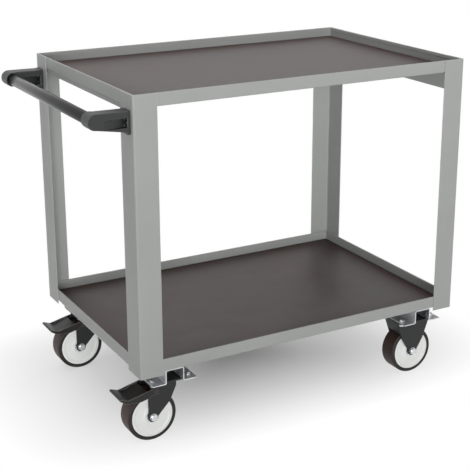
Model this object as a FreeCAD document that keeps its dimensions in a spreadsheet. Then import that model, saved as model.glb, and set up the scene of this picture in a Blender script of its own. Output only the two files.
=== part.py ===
import FreeCAD, Part
import os
import re

import Sketcher
from FreeCAD import Placement, Rotation, Vector

# Two-shelf tool cart: a welded sheet-steel frame with two lined trays, a push handle at one end,
# two braked swivel casters under the handle and two rigid casters at the other end.
# The floor is Z = 0, X runs along the cart with the handle at -X, and the operator's left is +Y.

# Driving sizes in millimetres: name, number, what it measures
SIZES = [
    ("frame_length", 900, "outside of the legs along X"),
    ("frame_width", 600, "outside of the legs along Y"),
    ("top_height", 850, "floor to the upper rim"),
    ("leg_sheet", 2, "leg sheet thickness"),
    ("leg_front_flange", 58, "leg flange on the long sides"),
    ("leg_end_flange", 68, "leg flange on the short ends"),
    ("leg_bend", 3, "inner bend radius of a leg"),
    ("leg_overhang", 8, "leg below the lower tray"),
    ("tray_sheet", 2, "tray sheet thickness"),
    ("tray_depth", 30, "tray side, outside"),
    ("tray_corner", 4, "upright corner radius of a tray"),
    ("tray_fold", 3, "outer fold radius along the tray bottom"),
    ("hem_depth", 8, "folded hem along the tray rim"),
    ("mat_thickness", 4, "shelf lining"),
    ("mat_gap", 2.5, "lining to tray side"),
    ("mat_corner", 3, "corner radius of the lining"),
    ("rail_lip", 10, "outer lip of an end rail below the upper tray"),
    ("rail_depth", 40, "inner wall of an end rail below the upper tray"),
    ("rail_sheet", 2, "end rail sheet"),
    ("stiffener_width", 64, "tray stiffener across"),
    ("stiffener_depth", 14, "tray stiffener below the tray"),
    ("stiffener_flange", 16, "tray stiffener foot"),
    ("stiffener_sheet", 1.5, "tray stiffener sheet"),
    ("channel_height", 36, "caster channel, foot to web"),
    ("channel_web", 48, "caster channel web, outside"),
    ("channel_sheet", 2.5, "caster channel sheet"),
    ("channel_bend", 2, "inner bend radius of the folded profiles"),
    ("channel_inset", 89, "end of the frame to the caster centre"),
    ("channel_end_gap", 4, "side of the frame to the channel end"),
    ("caster_inset", 70, "side of the frame to the caster centre"),
    ("plate_thickness", 4, "caster plate"),
    ("plate_corner", 10, "caster plate corner radius"),
    ("bolt_pitch", 92, "caster bolts along X"),
    ("bolt_side_gap", 8, "fork cheek to the bolt axis"),
    ("plate_edge_x", 11, "bolt axis to plate edge along X"),
    ("plate_edge_y", 13, "bolt axis to plate edge along Y"),
    ("bolt_diameter", 8, "caster bolt shank"),
    ("bolt_hole", 9, "hole for a caster bolt"),
    ("bolt_flats", 13, "caster bolt head across flats"),
    ("bolt_head", 5.3, "caster bolt head height"),
    ("nut_height", 6.5, "caster bolt nut"),
    ("bolt_end", 1, "caster bolt beyond its nut"),
    ("wheel_diameter", 125, "over the tyre"),
    ("wheel_width", 46, "tyre and rim"),
    ("tyre_thickness", 10, "tread to rim"),
    ("tyre_shoulder", 3, "tyre shoulder radius"),
    ("rim_thickness", 7, "radial thickness of the rim"),
    ("web_recess", 1.5, "wheel web below the rim face"),
    ("hub_diameter", 44, "wheel hub"),
    ("wheel_side_gap", 4, "tyre to fork cheek"),
    ("hub_end_gap", 2, "hub to fork cheek"),
    ("bearing_outer", 32, "wheel bearing outside"),
    ("bearing_width", 9, "wheel bearing"),
    ("sleeve_diameter", 15, "axle sleeve outside"),
    ("wheel_bore", 19, "wheel bore round the sleeve"),
    ("axle_diameter", 10, "axle bolt shank"),
    ("axle_flats", 16, "axle bolt head across flats"),
    ("axle_head", 6.4, "axle bolt head height"),
    ("axle_nut_height", 8, "axle nut"),
    ("axle_end", 2, "axle bolt beyond its nut"),
    ("running_gap", 0.05, "radial clearance of a running fit"),
    ("free_gap", 0.3, "clearance between parts that pass each other"),
    ("fork_sheet", 3, "fork sheet"),
    ("web_level", 3.3, "leaning fork web, measured level"),
    ("fork_bend", 4, "outer bend radius of a fork"),
    ("fork_headroom", 33, "wheel top to the plate top"),
    ("foot_radius", 12, "fork foot around the axle, half width"),
    ("foot_drop", 12, "fork foot below the axle"),
    ("foot_round", 9, "rounding of the fork foot"),
    ("swivel_trail", 41, "swivel axis to axle"),
    ("swivel_head", 9, "plate to fork crown"),
    ("crown_reach", 22, "fork crown ahead of the swivel axis"),
    ("crown_drop", 14, "upright front edge of the crown"),
    ("crown_rake", 1, "upright front edge leaning forwards"),
    ("cheek_taper", 10, "rear edge of a cheek leaning forwards at the crown"),
    ("cheek_break", 8, "wheel top to the break in the rear edge"),
    ("knee_out", 48, "front edge knee ahead of the axle"),
    ("knee_up", 38, "front edge knee above the axle"),
    ("web_drop", 30, "front web of the swivel fork below the crown"),
    ("rigid_web_drop", 36, "end webs of a rigid fork below the plate"),
    ("rigid_knee_out", 37, "rigid fork knee beside the axle"),
    ("rigid_knee_up", 42, "rigid fork knee above the axle"),
    ("rigid_top_inset", 2, "rigid fork inside the plate ends"),
    ("race_inner", 15, "ball race inner radius"),
    ("race_outer", 28, "ball race outer radius"),
    ("plate_race", 4, "race ring on the plate"),
    ("crown_race", 2, "race ring on the crown"),
    ("dust_ring", 2, "dust ring wall"),
    ("dust_gap", 1.5, "dust ring to the crown"),
    ("ball_diameter", 6, "swivel ball"),
    ("ball_count", 14, "balls in a swivel head"),
    ("kingpin_diameter", 12, "kingpin shank"),
    ("kingpin_head", 26, "kingpin head"),
    ("kingpin_head_height", 5, "kingpin head height"),
    ("kingpin_collar", 28, "kingpin collar on the plate"),
    ("kingpin_collar_height", 4, "kingpin collar height"),
    ("pivot_ahead", 6, "brake pivot ahead of the axle"),
    ("pivot_above", 5.5, "brake pivot above the wheel top"),
    ("pin_diameter", 6, "brake pivot pin"),
    ("pedal_gap", 0.5, "pedal to fork cheek"),
    ("pedal_sheet", 2.5, "pedal side wall"),
    ("pedal_nose", 2, "rounding of the pedal tip"),
    ("handle_tube", 28, "handle tube outside"),
    ("handle_wall", 2, "handle tube wall"),
    ("tube_reach", 81, "end of the frame to the tube centre"),
    ("tube_drop", 52, "upper rim to the tube centre"),
    ("collar_diameter", 36, "socket collar around the tube"),
    ("collar_length", 38, "socket collar along the tube"),
    ("collar_end", 4, "closed end of the socket"),
    ("bracket_inset", 12, "side of the frame to the bracket"),
    ("bracket_width", 34, "bracket foot along Y"),
    ("bracket_height", 54, "bracket foot along Z"),
    ("bracket_drop", 34, "upper rim to the bracket foot"),
    ("bracket_foot", 8, "bracket foot thickness"),
    ("bracket_back", 7, "bracket arm web at the foot"),
    ("recess_height", 22, "hollow in the side of a bracket arm"),
    ("arm_root_top", 1, "arm below the top of its foot"),
    ("arm_root_low", 6, "arm above the bottom of its foot"),
    ("bracket_round", 2.5, "moulded edges of the bracket"),
    ("screw_diameter", 6, "handle screw shank"),
    ("screw_hole", 7, "hole for a handle screw"),
    ("screw_head", 11, "handle screw head"),
    ("screw_head_height", 4, "handle screw head height"),
    ("screw_flats", 10, "handle screw nut across flats"),
    ("screw_nut", 5, "handle screw nut"),
    ("screw_end", 1.5, "handle screw beyond its nut"),
]

# Places worked out from the driving sizes
PLACES = [
    ("half_length", "frame_length / 2"),
    ("half_width", "frame_width / 2"),
    ("origin_shift", "(tube_reach + collar_diameter / 2) / 2"),
    ("caster_height", "wheel_diameter + fork_headroom"),
    ("lower_tray_bottom", "caster_height + channel_height"),
    ("leg_bottom", "lower_tray_bottom - leg_overhang"),
    ("upper_tray_bottom", "top_height - tray_depth"),
    ("tray_half_length", "half_length - leg_sheet"),
    ("tray_half_width", "half_width - leg_sheet"),
    ("rail_outer", "tray_half_length - leg_bend - free_gap"),
    ("rail_inner", "half_length - leg_front_flange"),
    ("caster_x", "half_length - channel_inset"),
    ("caster_y", "half_width - caster_inset"),
    ("wheel_radius", "wheel_diameter / 2"),
    ("core_radius", "wheel_radius - tyre_thickness"),
    ("fork_half_gap", "wheel_width / 2 + wheel_side_gap"),
    ("fork_half", "fork_half_gap + fork_sheet"),
    ("hub_half", "fork_half_gap - hub_end_gap"),
    ("bolt_x", "bolt_pitch / 2"),
    ("bolt_y", "fork_half + bolt_side_gap"),
    ("plate_half_x", "bolt_x + plate_edge_x"),
    ("plate_half_y", "bolt_y + plate_edge_y"),
    ("plate_bottom", "caster_height - plate_thickness"),
    ("flange_top", "caster_height + channel_sheet"),
    ("crown_top", "plate_bottom - swivel_head"),
    ("axle_x", "-swivel_trail"),
    ("ball_height", "crown_top + crown_race + (swivel_head - plate_race - crown_race) / 2"),
    ("ball_ring", "(race_inner + race_outer) / 2"),
    ("pivot_x", "axle_x + pivot_ahead"),
    ("pivot_z", "wheel_diameter + pivot_above"),
    ("pedal_half", "fork_half + pedal_gap + pedal_sheet"),
    ("tube_x", "-half_length - tube_reach"),
    ("tube_z", "top_height - tube_drop"),
    ("foot_top", "top_height - bracket_drop"),
    ("foot_bottom", "foot_top - bracket_height"),
    ("bracket_outer", "half_width - bracket_inset"),
    ("bracket_middle", "bracket_outer - bracket_width / 2"),
    ("screw_offset", "(bracket_width + bracket_back) / 4"),
    ("screw_z", "foot_top - bracket_height / 2"),
    ("tube_half", "bracket_outer - collar_end"),
    ("arm_start", "-half_length - bracket_foot"),
    ("arm_top", "foot_top - arm_root_top"),
    ("arm_low", "foot_bottom + arm_root_low"),
    ("collar_top", "tube_z + collar_diameter / 2"),
    ("collar_low", "tube_z - collar_diameter / 2"),
    ("recess_end", "tube_x + collar_diameter / 2"),
    ("recess_low", "screw_z - recess_height / 2"),
]

ENDS = (("left", -1), ("right", 1))
SIDES = (("front", -1), ("rear", 1))
FAR = "frame_length"

doc = FreeCAD.newDocument("tool_cart")
pieces = []


# Spreadsheet

def make_sheets():
    """Fill the sheet of driving sizes and the sheet of places that follow from them."""
    sizes = doc.addObject("Spreadsheet::Sheet", "Sizes")
    for row, (name, number, note) in enumerate(SIZES, 1):
        sizes.set(f"A{row}", name)
        sizes.set(f"B{row}", str(number))
        sizes.setAlias(f"B{row}", name)
        sizes.set(f"C{row}", note)
    places = doc.addObject("Spreadsheet::Sheet", "Places")
    for row, (name, formula) in enumerate(PLACES, 1):
        places.set(f"A{row}", name)
        places.set(f"B{row}", "=" + qualified(formula, own_sheet="Places"))
        places.setAlias(f"B{row}", name)
    doc.recompute()


SHEET_OF = {name: "Sizes" for name, _, _ in SIZES}
SHEET_OF.update({name: "Places" for name, _ in PLACES})


def qualified(formula, own_sheet=""):
    """Put each size's sheet before its name in a formula."""
    def with_sheet(match):
        name = match.group()
        sheet = SHEET_OF.get(name, own_sheet)
        return name if sheet == own_sheet else f"{sheet}.{name}"
    return re.sub(r"[a-z][a-z_]*", with_sheet, formula)


def value(formula):
    """The number that a formula gives with the sheet's sizes."""
    return float(doc.Sizes.evalExpression(qualified(formula)))


def bind(thing, field, formula):
    """Tie a property to the sheet."""
    thing.setExpression(field, qualified(formula))


# Bodies, sketches and features

def new_body(label):
    """An empty body that becomes one piece."""
    body = doc.addObject("PartDesign::Body", label)
    body.Label = label
    return body


def new_sketch(body, role, depth):
    """A sketch on one of the body's own origin planes, moved along its normal by depth."""
    sketch = body.newObject("Sketcher::SketchObject", f"{body.Label}_sketch")
    plane = next(part for part in body.Origin.OriginFeatures if part.Role == role)
    sketch.AttachmentSupport = [(plane, "")]
    sketch.MapMode = "FlatFace"
    bind(sketch, "AttachmentOffset.Base.z", depth)
    return sketch


def tie_point(sketch, geometry, end, place):
    """Hold one point of a sketch at a place given by two formulas."""
    for kind, formula in zip(("DistanceX", "DistanceY"), place):
        rule = Sketcher.Constraint(kind, -1, 1, geometry, end, value(formula))
        number = sketch.addConstraint(rule)
        bind(sketch, f"Constraints[{number}]", formula)


def outline(body, role, corners, depth="0"):
    """A closed outline whose corners follow formulas."""
    sketch = new_sketch(body, role, depth)
    spots = [Vector(value(u), value(v), 0) for u, v in corners]
    count = len(spots)
    for index in range(count):
        sketch.addGeometry(Part.LineSegment(spots[index], spots[(index + 1) % count]))
    for index in range(count):
        sketch.addConstraint(Sketcher.Constraint("Coincident", index, 2, (index + 1) % count, 1))
    for index, corner in enumerate(corners):
        tie_point(sketch, index, 1, corner)
    return sketch


def rectangle(half_x, half_y):
    """Corners of a centred rectangle."""
    return [(f"{sx} * ({half_x})", f"{sy} * ({half_y})") for sx, sy in ((-1, -1), (1, -1), (1, 1), (-1, 1))]


def circles(body, role, places, diameter, depth="0"):
    """Circles of one diameter at the given places."""
    sketch = new_sketch(body, role, depth)
    for index, (u, v) in enumerate(places):
        centre = Vector(value(u), value(v), 0)
        sketch.addGeometry(Part.Circle(centre, Vector(0, 0, 1), value(diameter) / 2))
        rule = sketch.addConstraint(Sketcher.Constraint("Diameter", index, value(diameter)))
        bind(sketch, f"Constraints[{rule}]", diameter)
        tie_point(sketch, index, 3, (u, v))
    return sketch


def hexagon(body, role, centre, flats, depth="0"):
    """A regular hexagon across the given flats."""
    u, v = centre
    corners = []
    for step in range(6):
        reach = f"({flats}) / 2 / cos(30 deg)"
        corners.append((f"{u} + {reach} * cos({60 * step} deg)", f"{v} + {reach} * sin({60 * step} deg)"))
    return outline(body, role, corners, depth)


def pad(body, sketch, length, both=False, back=False):
    """Extrude a sketch, along its normal, against it, or to both sides."""
    feature = body.newObject("PartDesign::Pad", f"{body.Label}_pad")
    feature.Profile = sketch
    feature.SideType = "Symmetric" if both else "One side"
    feature.Reversed = back
    bind(feature, "Length", length)
    return feature


def pocket(body, sketch, length, both=False, up=False):
    """Cut a sketch out of the body: against its normal, along it, or to both sides."""
    doc.recompute()
    before = body.Shape.Volume
    feature = body.newObject("PartDesign::Pocket", f"{body.Label}_pocket")
    feature.Profile = sketch
    feature.SideType = "Symmetric" if both else "One side"
    feature.Reversed = up
    bind(feature, "Length", length)
    doc.recompute()
    if body.Shape.Volume >= before:
        raise RuntimeError(f"{body.Label}: a pocket cuts nothing")
    return feature


def about_z(body, sketch, kind):
    """Turn a sketch in the XZ plane about Z, as a Revolution or as a Groove."""
    feature = body.newObject(f"PartDesign::{kind}", f"{body.Label}_{kind.lower()}")
    feature.Profile = sketch
    feature.ReferenceAxis = (sketch, ["V_Axis"])
    feature.Angle = 360
    doc.recompute()


def turned(body, corners):
    """Add a solid of revolution about Z."""
    about_z(body, outline(body, "XZ_Plane", corners), "Revolution")


def round_edges(body, radius, chosen):
    """Round the edges of a body that a test picks."""
    doc.recompute()
    base = body.Tip
    names = [f"Edge{number}" for number, edge in enumerate(base.Shape.Edges, 1) if chosen(edge)]
    if not names:
        raise RuntimeError(f"{body.Label}: no edge to round")
    feature = body.newObject("PartDesign::Fillet", f"{body.Label}_fillet")
    feature.Base = (base, names)
    bind(feature, "Radius", radius)
    return feature


def runs_along(edge, axis):
    """True for a straight edge parallel to an axis."""
    if edge.Curve.TypeId != "Part::GeomLine":
        return False
    return abs(edge.tangentAt(edge.FirstParameter).dot(axis)) > 0.999


def near(number, formula):
    """True if a coordinate is where a formula says."""
    return abs(number - value(formula)) < 1e-4


ALONG_X = Vector(1, 0, 0)
ALONG_Y = Vector(0, 1, 0)
ALONG_Z = Vector(0, 0, 1)


def put(piece, x="0", y="0", z="0"):
    """Place a finished piece and list it for export."""
    bind(piece, "Placement.Base.x", f"origin_shift + {x}")
    bind(piece, "Placement.Base.y", y)
    bind(piece, "Placement.Base.z", z)
    pieces.append(piece)
    return piece


def group(label, members):
    """Several equal solids as one piece."""
    piece = doc.addObject("Part::Compound", label)
    piece.Label = label
    piece.Links = members
    return piece


# Frame

def make_leg(side, sy, end, sx):
    """L-shaped leg folded from sheet, outside the trays."""
    leg = new_body(f"leg_{side}_{end}")
    corner_x = f"{sx} * half_length"
    corner_y = f"{sy} * half_width"
    inner_x = f"{sx} * (half_length - leg_sheet)"
    inner_y = f"{sy} * (half_width - leg_sheet)"
    front_end = f"{sx} * (half_length - leg_front_flange)"
    side_end = f"{sy} * (half_width - leg_end_flange)"
    corners = [
        (corner_x, corner_y), (front_end, corner_y), (front_end, inner_y),
        (inner_x, inner_y), (inner_x, side_end), (corner_x, side_end),
    ]
    pad(leg, outline(leg, "XY_Plane", corners, "leg_bottom"), "top_height - leg_bottom")
    for radius, x, y in (("leg_bend", inner_x, inner_y), ("leg_bend + leg_sheet", corner_x, corner_y)):
        round_edges(leg, radius, lambda edge: runs_along(edge, ALONG_Z)
                    and near(edge.CenterOfMass.x, x) and near(edge.CenterOfMass.y, y))
    if end == "left":
        holes = circles(leg, "YZ_Plane", screw_places(sy), "screw_hole", corner_x)
        pocket(leg, holes, "4 * leg_sheet", both=True)
    put(leg)


def screw_places(sy):
    """The two screws of a handle bracket, in Y and Z."""
    return [(f"{sy} * bracket_middle + {step} * screw_offset", "screw_z") for step in (-1, 1)]


def make_tray(label, bottom):
    """Folded tray: floor, upright sides and a hem folded in along the rim."""
    tray = new_body(label)
    outside = outline(tray, "XY_Plane", rectangle("tray_half_length", "tray_half_width"), bottom)
    pad(tray, outside, "tray_depth")
    round_edges(tray, "tray_corner", lambda edge: runs_along(edge, ALONG_Z))
    round_edges(tray, "tray_fold", lambda edge: near(edge.BoundBox.ZMax, bottom))
    mouth = rectangle("tray_half_length - 2 * tray_sheet", "tray_half_width - 2 * tray_sheet")
    floor = f"{bottom} + tray_sheet"
    pocket(tray, outline(tray, "XY_Plane", mouth, floor), FAR, up=True)
    inside = rectangle("tray_half_length - tray_sheet", "tray_half_width - tray_sheet")
    room = "tray_depth - tray_sheet - hem_depth"
    pocket(tray, outline(tray, "XY_Plane", inside, floor), room, up=True)
    put(tray)


def make_mat(label, bottom):
    """Loose lining on a tray floor."""
    mat = new_body(label)
    sheet = rectangle("tray_half_length - tray_sheet - mat_gap", "tray_half_width - tray_sheet - mat_gap")
    pad(mat, outline(mat, "XY_Plane", sheet, f"{bottom} + tray_sheet"), "mat_thickness")
    round_edges(mat, "mat_corner", lambda edge: runs_along(edge, ALONG_Z))
    put(mat)


def make_end_rail(end, sx):
    """Folded cross rail under the upper tray, open below: low outer lip, deeper wall inside."""
    rail = new_body(f"{end}_end_rail")
    outer = f"{sx} * rail_outer"
    outer_skin = f"{sx} * (rail_outer - rail_sheet)"
    inner = f"{sx} * rail_inner"
    inner_skin = f"{sx} * (rail_inner + rail_sheet)"
    lip = "upper_tray_bottom - rail_lip"
    low = "upper_tray_bottom - rail_depth"
    high = "upper_tray_bottom"
    under = "upper_tray_bottom - rail_sheet"
    corners = [
        (outer, lip), (outer, high), (inner, high), (inner, low),
        (inner_skin, low), (inner_skin, under), (outer_skin, under), (outer_skin, lip),
    ]
    pad(rail, outline(rail, "XZ_Plane", corners), "2 * tray_half_width", both=True)
    round_edges(rail, "channel_bend + rail_sheet",
                lambda edge: runs_along(edge, ALONG_Y) and near(edge.CenterOfMass.z, high))
    round_edges(rail, "channel_bend",
                lambda edge: runs_along(edge, ALONG_Y) and near(edge.CenterOfMass.z, under))
    put(rail)


def hat_profile(centre, half_web, half_all, low, high, sheet):
    """Corners of a hat section: web on top, walls, and feet turned outwards."""
    inner_web = f"{half_web} - {sheet}"
    foot_top = f"{low} + {sheet}"
    right = [
        (inner_web, f"{high} - {sheet}"), (inner_web, low), (half_all, low),
        (half_all, foot_top), (half_web, foot_top), (half_web, high),
    ]
    right_half = [(f"{centre} + {reach}", height) for reach, height in right]
    left_half = [(f"{centre} - ({reach})", height) for reach, height in reversed(right)]
    return right_half + left_half


def make_stiffener(label, high, half_run):
    """Hat-section stiffener along the middle of a tray's underside."""
    stiffener = new_body(label)
    low = f"{high} - stiffener_depth"
    half_foot = "stiffener_width / 2"
    half_web = "stiffener_width / 2 - stiffener_flange"
    corners = hat_profile("0", half_web, half_foot, low, high, "stiffener_sheet")
    flipped = [(u, f"{low} + {high} - ({v})") for u, v in corners]
    pad(stiffener, outline(stiffener, "YZ_Plane", flipped), f"2 * ({half_run})", both=True)
    put(stiffener)


def make_caster_channel(end, sx):
    """Hat channel under the lower tray; its feet carry the caster plates."""
    channel = new_body(f"{end}_caster_channel")
    centre = f"{sx} * caster_x"
    high = "lower_tray_bottom"
    corners = hat_profile(centre, "channel_web / 2", "plate_half_x", "caster_height", high, "channel_sheet")
    pad(channel, outline(channel, "XZ_Plane", corners), "2 * (half_width - channel_end_gap)", both=True)
    for height, radius in (
        (high, "channel_bend + channel_sheet"),
        (f"{high} - channel_sheet", "channel_bend"),
    ):
        round_edges(channel, radius, lambda edge: runs_along(edge, ALONG_Y)
                    and near(edge.CenterOfMass.z, height))
    for reach, height, radius in (
        ("channel_web / 2", "flange_top", "channel_bend"),
        ("channel_web / 2 - channel_sheet", "caster_height", "channel_bend + channel_sheet"),
    ):
        round_edges(channel, radius, lambda edge: runs_along(edge, ALONG_Y)
                    and near(edge.CenterOfMass.z, height)
                    and near(abs(edge.CenterOfMass.x - value(centre)), reach))
    holes = [(f"{centre} + {i} * bolt_x", f"{j} * caster_y + {k} * bolt_y")
             for i in (-1, 1) for j in (-1, 1) for k in (-1, 1)]
    bolt_holes = circles(channel, "XY_Plane", holes, "bolt_hole", "flange_top + channel_sheet")
    pocket(channel, bolt_holes, "channel_height")
    put(channel)


# Handle

def make_bracket(side, sy):
    """Moulded handle bracket: foot on the leg, arm hollowed towards the foot, blind socket for the tube."""
    bracket = new_body(f"{side}_handle_bracket")
    outer = f"{sy} * bracket_outer"
    inner = f"{sy} * (bracket_outer - bracket_width)"
    middle = f"{-sy} * bracket_middle"
    foot = [(outer, "foot_bottom"), (inner, "foot_bottom"), (inner, "foot_top"), (outer, "foot_top")]
    pad(bracket, outline(bracket, "YZ_Plane", foot, "-half_length"), "bracket_foot", back=True)
    round_edges(bracket, "bracket_round", lambda edge: runs_along(edge, ALONG_X))
    arm = [
        ("arm_start", "arm_low"), ("arm_start", "arm_top"),
        ("tube_x", "collar_top"), ("tube_x", "collar_low"),
    ]
    pad(bracket, outline(bracket, "XZ_Plane", arm, middle), "bracket_width", both=True)
    tube_axis = [("tube_x", "tube_z")]
    collar_middle = f"{-sy} * (bracket_outer - collar_length / 2)"
    collar = circles(bracket, "XZ_Plane", tube_axis, "collar_diameter", collar_middle)
    pad(bracket, collar, "collar_length", both=True)
    for sign in (-1, 1):
        deep = f"{sy} * bracket_middle + {sign} * bracket_back / 2"
        face = f"{sy} * bracket_middle + {sign} * bracket_width / 2"
        beyond = f"{sy} * bracket_middle + {sign} * bracket_width"
        wedge = [("arm_start", deep), ("recess_end", face), ("recess_end", beyond), ("arm_start", beyond)]
        pocket(bracket, outline(bracket, "XY_Plane", wedge, "recess_low"), "recess_height", up=True)
    bore_middle = f"{-sy} * (tube_half - collar_length / 2)"
    bore = circles(bracket, "XZ_Plane", tube_axis, "handle_tube + 2 * running_gap", bore_middle)
    pocket(bracket, bore, "collar_length", both=True)
    holes = circles(bracket, "YZ_Plane", screw_places(sy), "screw_hole", "arm_start")
    pocket(bracket, holes, "2.5 * bracket_foot", both=True)
    put(bracket)


def ring(label, outer, inner, length, start):
    """A plain tube about Z."""
    solids = []
    for name, diameter in (("outside", outer), ("bore", inner)):
        cylinder = doc.addObject("Part::Cylinder", f"{label}_{name}")
        bind(cylinder, "Radius", f"({diameter}) / 2")
        bind(cylinder, "Height", length)
        bind(cylinder, "Placement.Base.z", start)
        solids.append(cylinder)
    tube = doc.addObject("Part::Cut", label)
    tube.Label = label
    tube.Base, tube.Tool = solids
    return tube


def lay_along_y(piece):
    """Turn a piece made about Z so that its top faces the front."""
    piece.Placement = Placement(Vector(), Rotation(ALONG_X, 90))
    return piece


def make_handle():
    """Brackets, tube, and the screws and nuts that hold them to the left legs."""
    for side, sy in SIDES:
        make_bracket(side, sy)
    inside = "handle_tube - 2 * handle_wall"
    tube = ring("handle_tube", "handle_tube", inside, "2 * tube_half", "-tube_half")
    put(lay_along_y(tube), "tube_x", "0", "tube_z")
    screw = new_body("handle_screw")
    shank = "bracket_foot + leg_sheet + screw_nut + screw_end"
    pad(screw, circles(screw, "YZ_Plane", [("0", "0")], "screw_head"), "screw_head_height", back=True)
    round_edges(screw, "screw_head_height / 2", lambda edge: near(edge.BoundBox.XMax, "-screw_head_height"))
    pad(screw, circles(screw, "YZ_Plane", [("0", "0")], "screw_diameter"), shank)
    nut = new_body("handle_nut")
    pad(nut, hexagon(nut, "YZ_Plane", ("0", "0"), "screw_flats"), "screw_nut")
    bore = circles(nut, "YZ_Plane", [("0", "0")], "screw_diameter + 2 * running_gap")
    pocket(nut, bore, "4 * screw_nut", both=True)
    spots = [place for _, sy in SIDES for place in screw_places(sy)]
    put(copies("handle_screws", screw, [("arm_start", y, z) for y, z in spots]))
    put(copies("handle_nuts", nut, [("-half_length + leg_sheet", y, z) for y, z in spots]))


def copies(label, pattern, spots):
    """Equal solids at several places as one piece."""
    doc.recompute()
    solids = []
    for spot in spots:
        solids.append(pattern.Shape.translated(Vector(*[value(formula) for formula in spot])))
    piece = doc.addObject("Part::Feature", label)
    piece.Label = label
    piece.Shape = Part.makeCompound(solids)
    return piece


# Casters

def make_plate(label, swivel):
    """Caster plate; a swivel plate also carries the upper ball race and its dust ring."""
    plate = new_body(label)
    outside = rectangle("plate_half_x", "plate_half_y")
    pad(plate, outline(plate, "XY_Plane", outside, "plate_bottom"), "plate_thickness")
    round_edges(plate, "plate_corner", lambda edge: runs_along(edge, ALONG_Z))
    holes = circles(plate, "XY_Plane", rectangle("bolt_x", "bolt_y"), "bolt_hole", "caster_height")
    pocket(plate, holes, "2 * plate_thickness")
    if swivel:
        rim = "race_outer + dust_ring"
        turned(plate, [
            ("race_inner", "plate_bottom"), ("race_inner", "plate_bottom - plate_race"),
            ("race_outer", "plate_bottom - plate_race"), ("race_outer", "crown_top + dust_gap"),
            (rim, "crown_top + dust_gap"), (rim, "plate_bottom"),
        ])
        cut_ball_track(plate)
        cut_kingpin_hole(plate)
    return plate


def cut_ball_track(body):
    """Groove that the swivel balls run in."""
    track = circles(body, "XZ_Plane", [("ball_ring", "ball_height")], "ball_diameter + 2 * running_gap")
    about_z(body, track, "Groove")


def cut_kingpin_hole(body):
    """Hole for the kingpin on the swivel axis."""
    hole = circles(body, "XY_Plane", [("0", "0")], "kingpin_diameter + 2 * running_gap", "caster_height")
    pocket(body, hole, "plate_thickness + swivel_head + 2 * fork_sheet")


def make_kingpin(label):
    """Kingpin: collar on the plate, shank, and a head that carries the fork crown."""
    pin = new_body(label)
    head_top = "crown_top - fork_sheet - free_gap"
    head_low = f"{head_top} - kingpin_head_height"
    collar_top = "caster_height + kingpin_collar_height"
    turned(pin, [
        ("0", head_low), ("kingpin_head / 2", head_low), ("kingpin_head / 2", head_top),
        ("kingpin_diameter / 2", head_top), ("kingpin_diameter / 2", "caster_height"),
        ("kingpin_collar / 2", "caster_height"), ("kingpin_collar / 2", collar_top), ("0", collar_top),
    ])
    return pin


def make_balls(label):
    """Ring of balls between plate and crown."""
    balls = []
    count = int(value("ball_count"))
    for index in range(count):
        ball = doc.addObject("Part::Sphere", f"{label}_ball")
        angle = f"{index} * 360 deg / ball_count"
        bind(ball, "Radius", "ball_diameter / 2")
        bind(ball, "Placement.Base.x", f"ball_ring * cos({angle})")
        bind(ball, "Placement.Base.y", f"ball_ring * sin({angle})")
        bind(ball, "Placement.Base.z", "ball_height")
        balls.append(ball)
    return group(label, balls)


def cut_cheek_holes(fork, place, diameter):
    """A hole through both cheeks of a fork."""
    pocket(fork, circles(fork, "XZ_Plane", [place], diameter), "4 * fork_half", both=True)


def round_foot(fork, axle):
    """Round the lower corners of both cheeks."""
    low = "wheel_radius - foot_drop"
    round_edges(fork, "foot_round", lambda edge: runs_along(edge, ALONG_Y) and near(edge.CenterOfMass.z, low)
                and near(abs(edge.CenterOfMass.x - value(axle)), "foot_radius"))


def make_swivel_fork(label):
    """Pressed swivel fork: two cheeks, crown, front web and the lower ball race."""
    fork = new_body(label)
    knee_x = "axle_x + knee_out"
    knee_z = "wheel_radius + knee_up"
    edge_x = "crown_reach - crown_rake"
    edge_z = "crown_top - crown_drop"
    rear_x = "axle_x - foot_radius"
    front_x = "axle_x + foot_radius"
    foot_z = "wheel_radius - foot_drop"
    side = [
        (rear_x, foot_z), (front_x, foot_z), (front_x, "wheel_radius"), (knee_x, knee_z),
        (edge_x, edge_z), ("crown_reach", "crown_top"),
        (f"{rear_x} + cheek_taper", "crown_top"), (rear_x, "wheel_diameter - cheek_break"),
    ]
    pad(fork, outline(fork, "XZ_Plane", side), "2 * fork_half", both=True)
    round_edges(fork, "fork_bend", lambda edge: near(abs(edge.CenterOfMass.y), "fork_half")
                and edge.CenterOfMass.x > value("axle_x") and edge.CenterOfMass.z > value(knee_z) + 1)
    web_z = "crown_top - web_drop"
    web_x = f"{knee_x} + ({edge_x} - ({knee_x})) * ({web_z} - ({knee_z})) / ({edge_z} - ({knee_z}))"
    room = [
        (f"-{FAR}", "-fork_headroom"), (FAR, "-fork_headroom"), (FAR, web_z), (f"{web_x} - web_level", web_z),
        (f"{edge_x} - web_level", edge_z), ("crown_reach - web_level", "crown_top - fork_sheet"),
        (f"-{FAR}", "crown_top - fork_sheet"),
    ]
    pocket(fork, outline(fork, "XZ_Plane", room), "2 * fork_half_gap", both=True)
    round_foot(fork, "axle_x")
    rim = "race_outer - dust_gap"
    turned(fork, [
        ("race_inner", "crown_top - fork_sheet"), (rim, "crown_top - fork_sheet"),
        (rim, "crown_top + crown_race"), ("race_inner", "crown_top + crown_race"),
    ])
    cut_ball_track(fork)
    cut_kingpin_hole(fork)
    cut_cheek_holes(fork, ("axle_x", "wheel_radius"), "axle_diameter + 2 * running_gap")
    cut_cheek_holes(fork, ("pivot_x", "pivot_z"), "pin_diameter + 2 * running_gap")
    return fork


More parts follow.
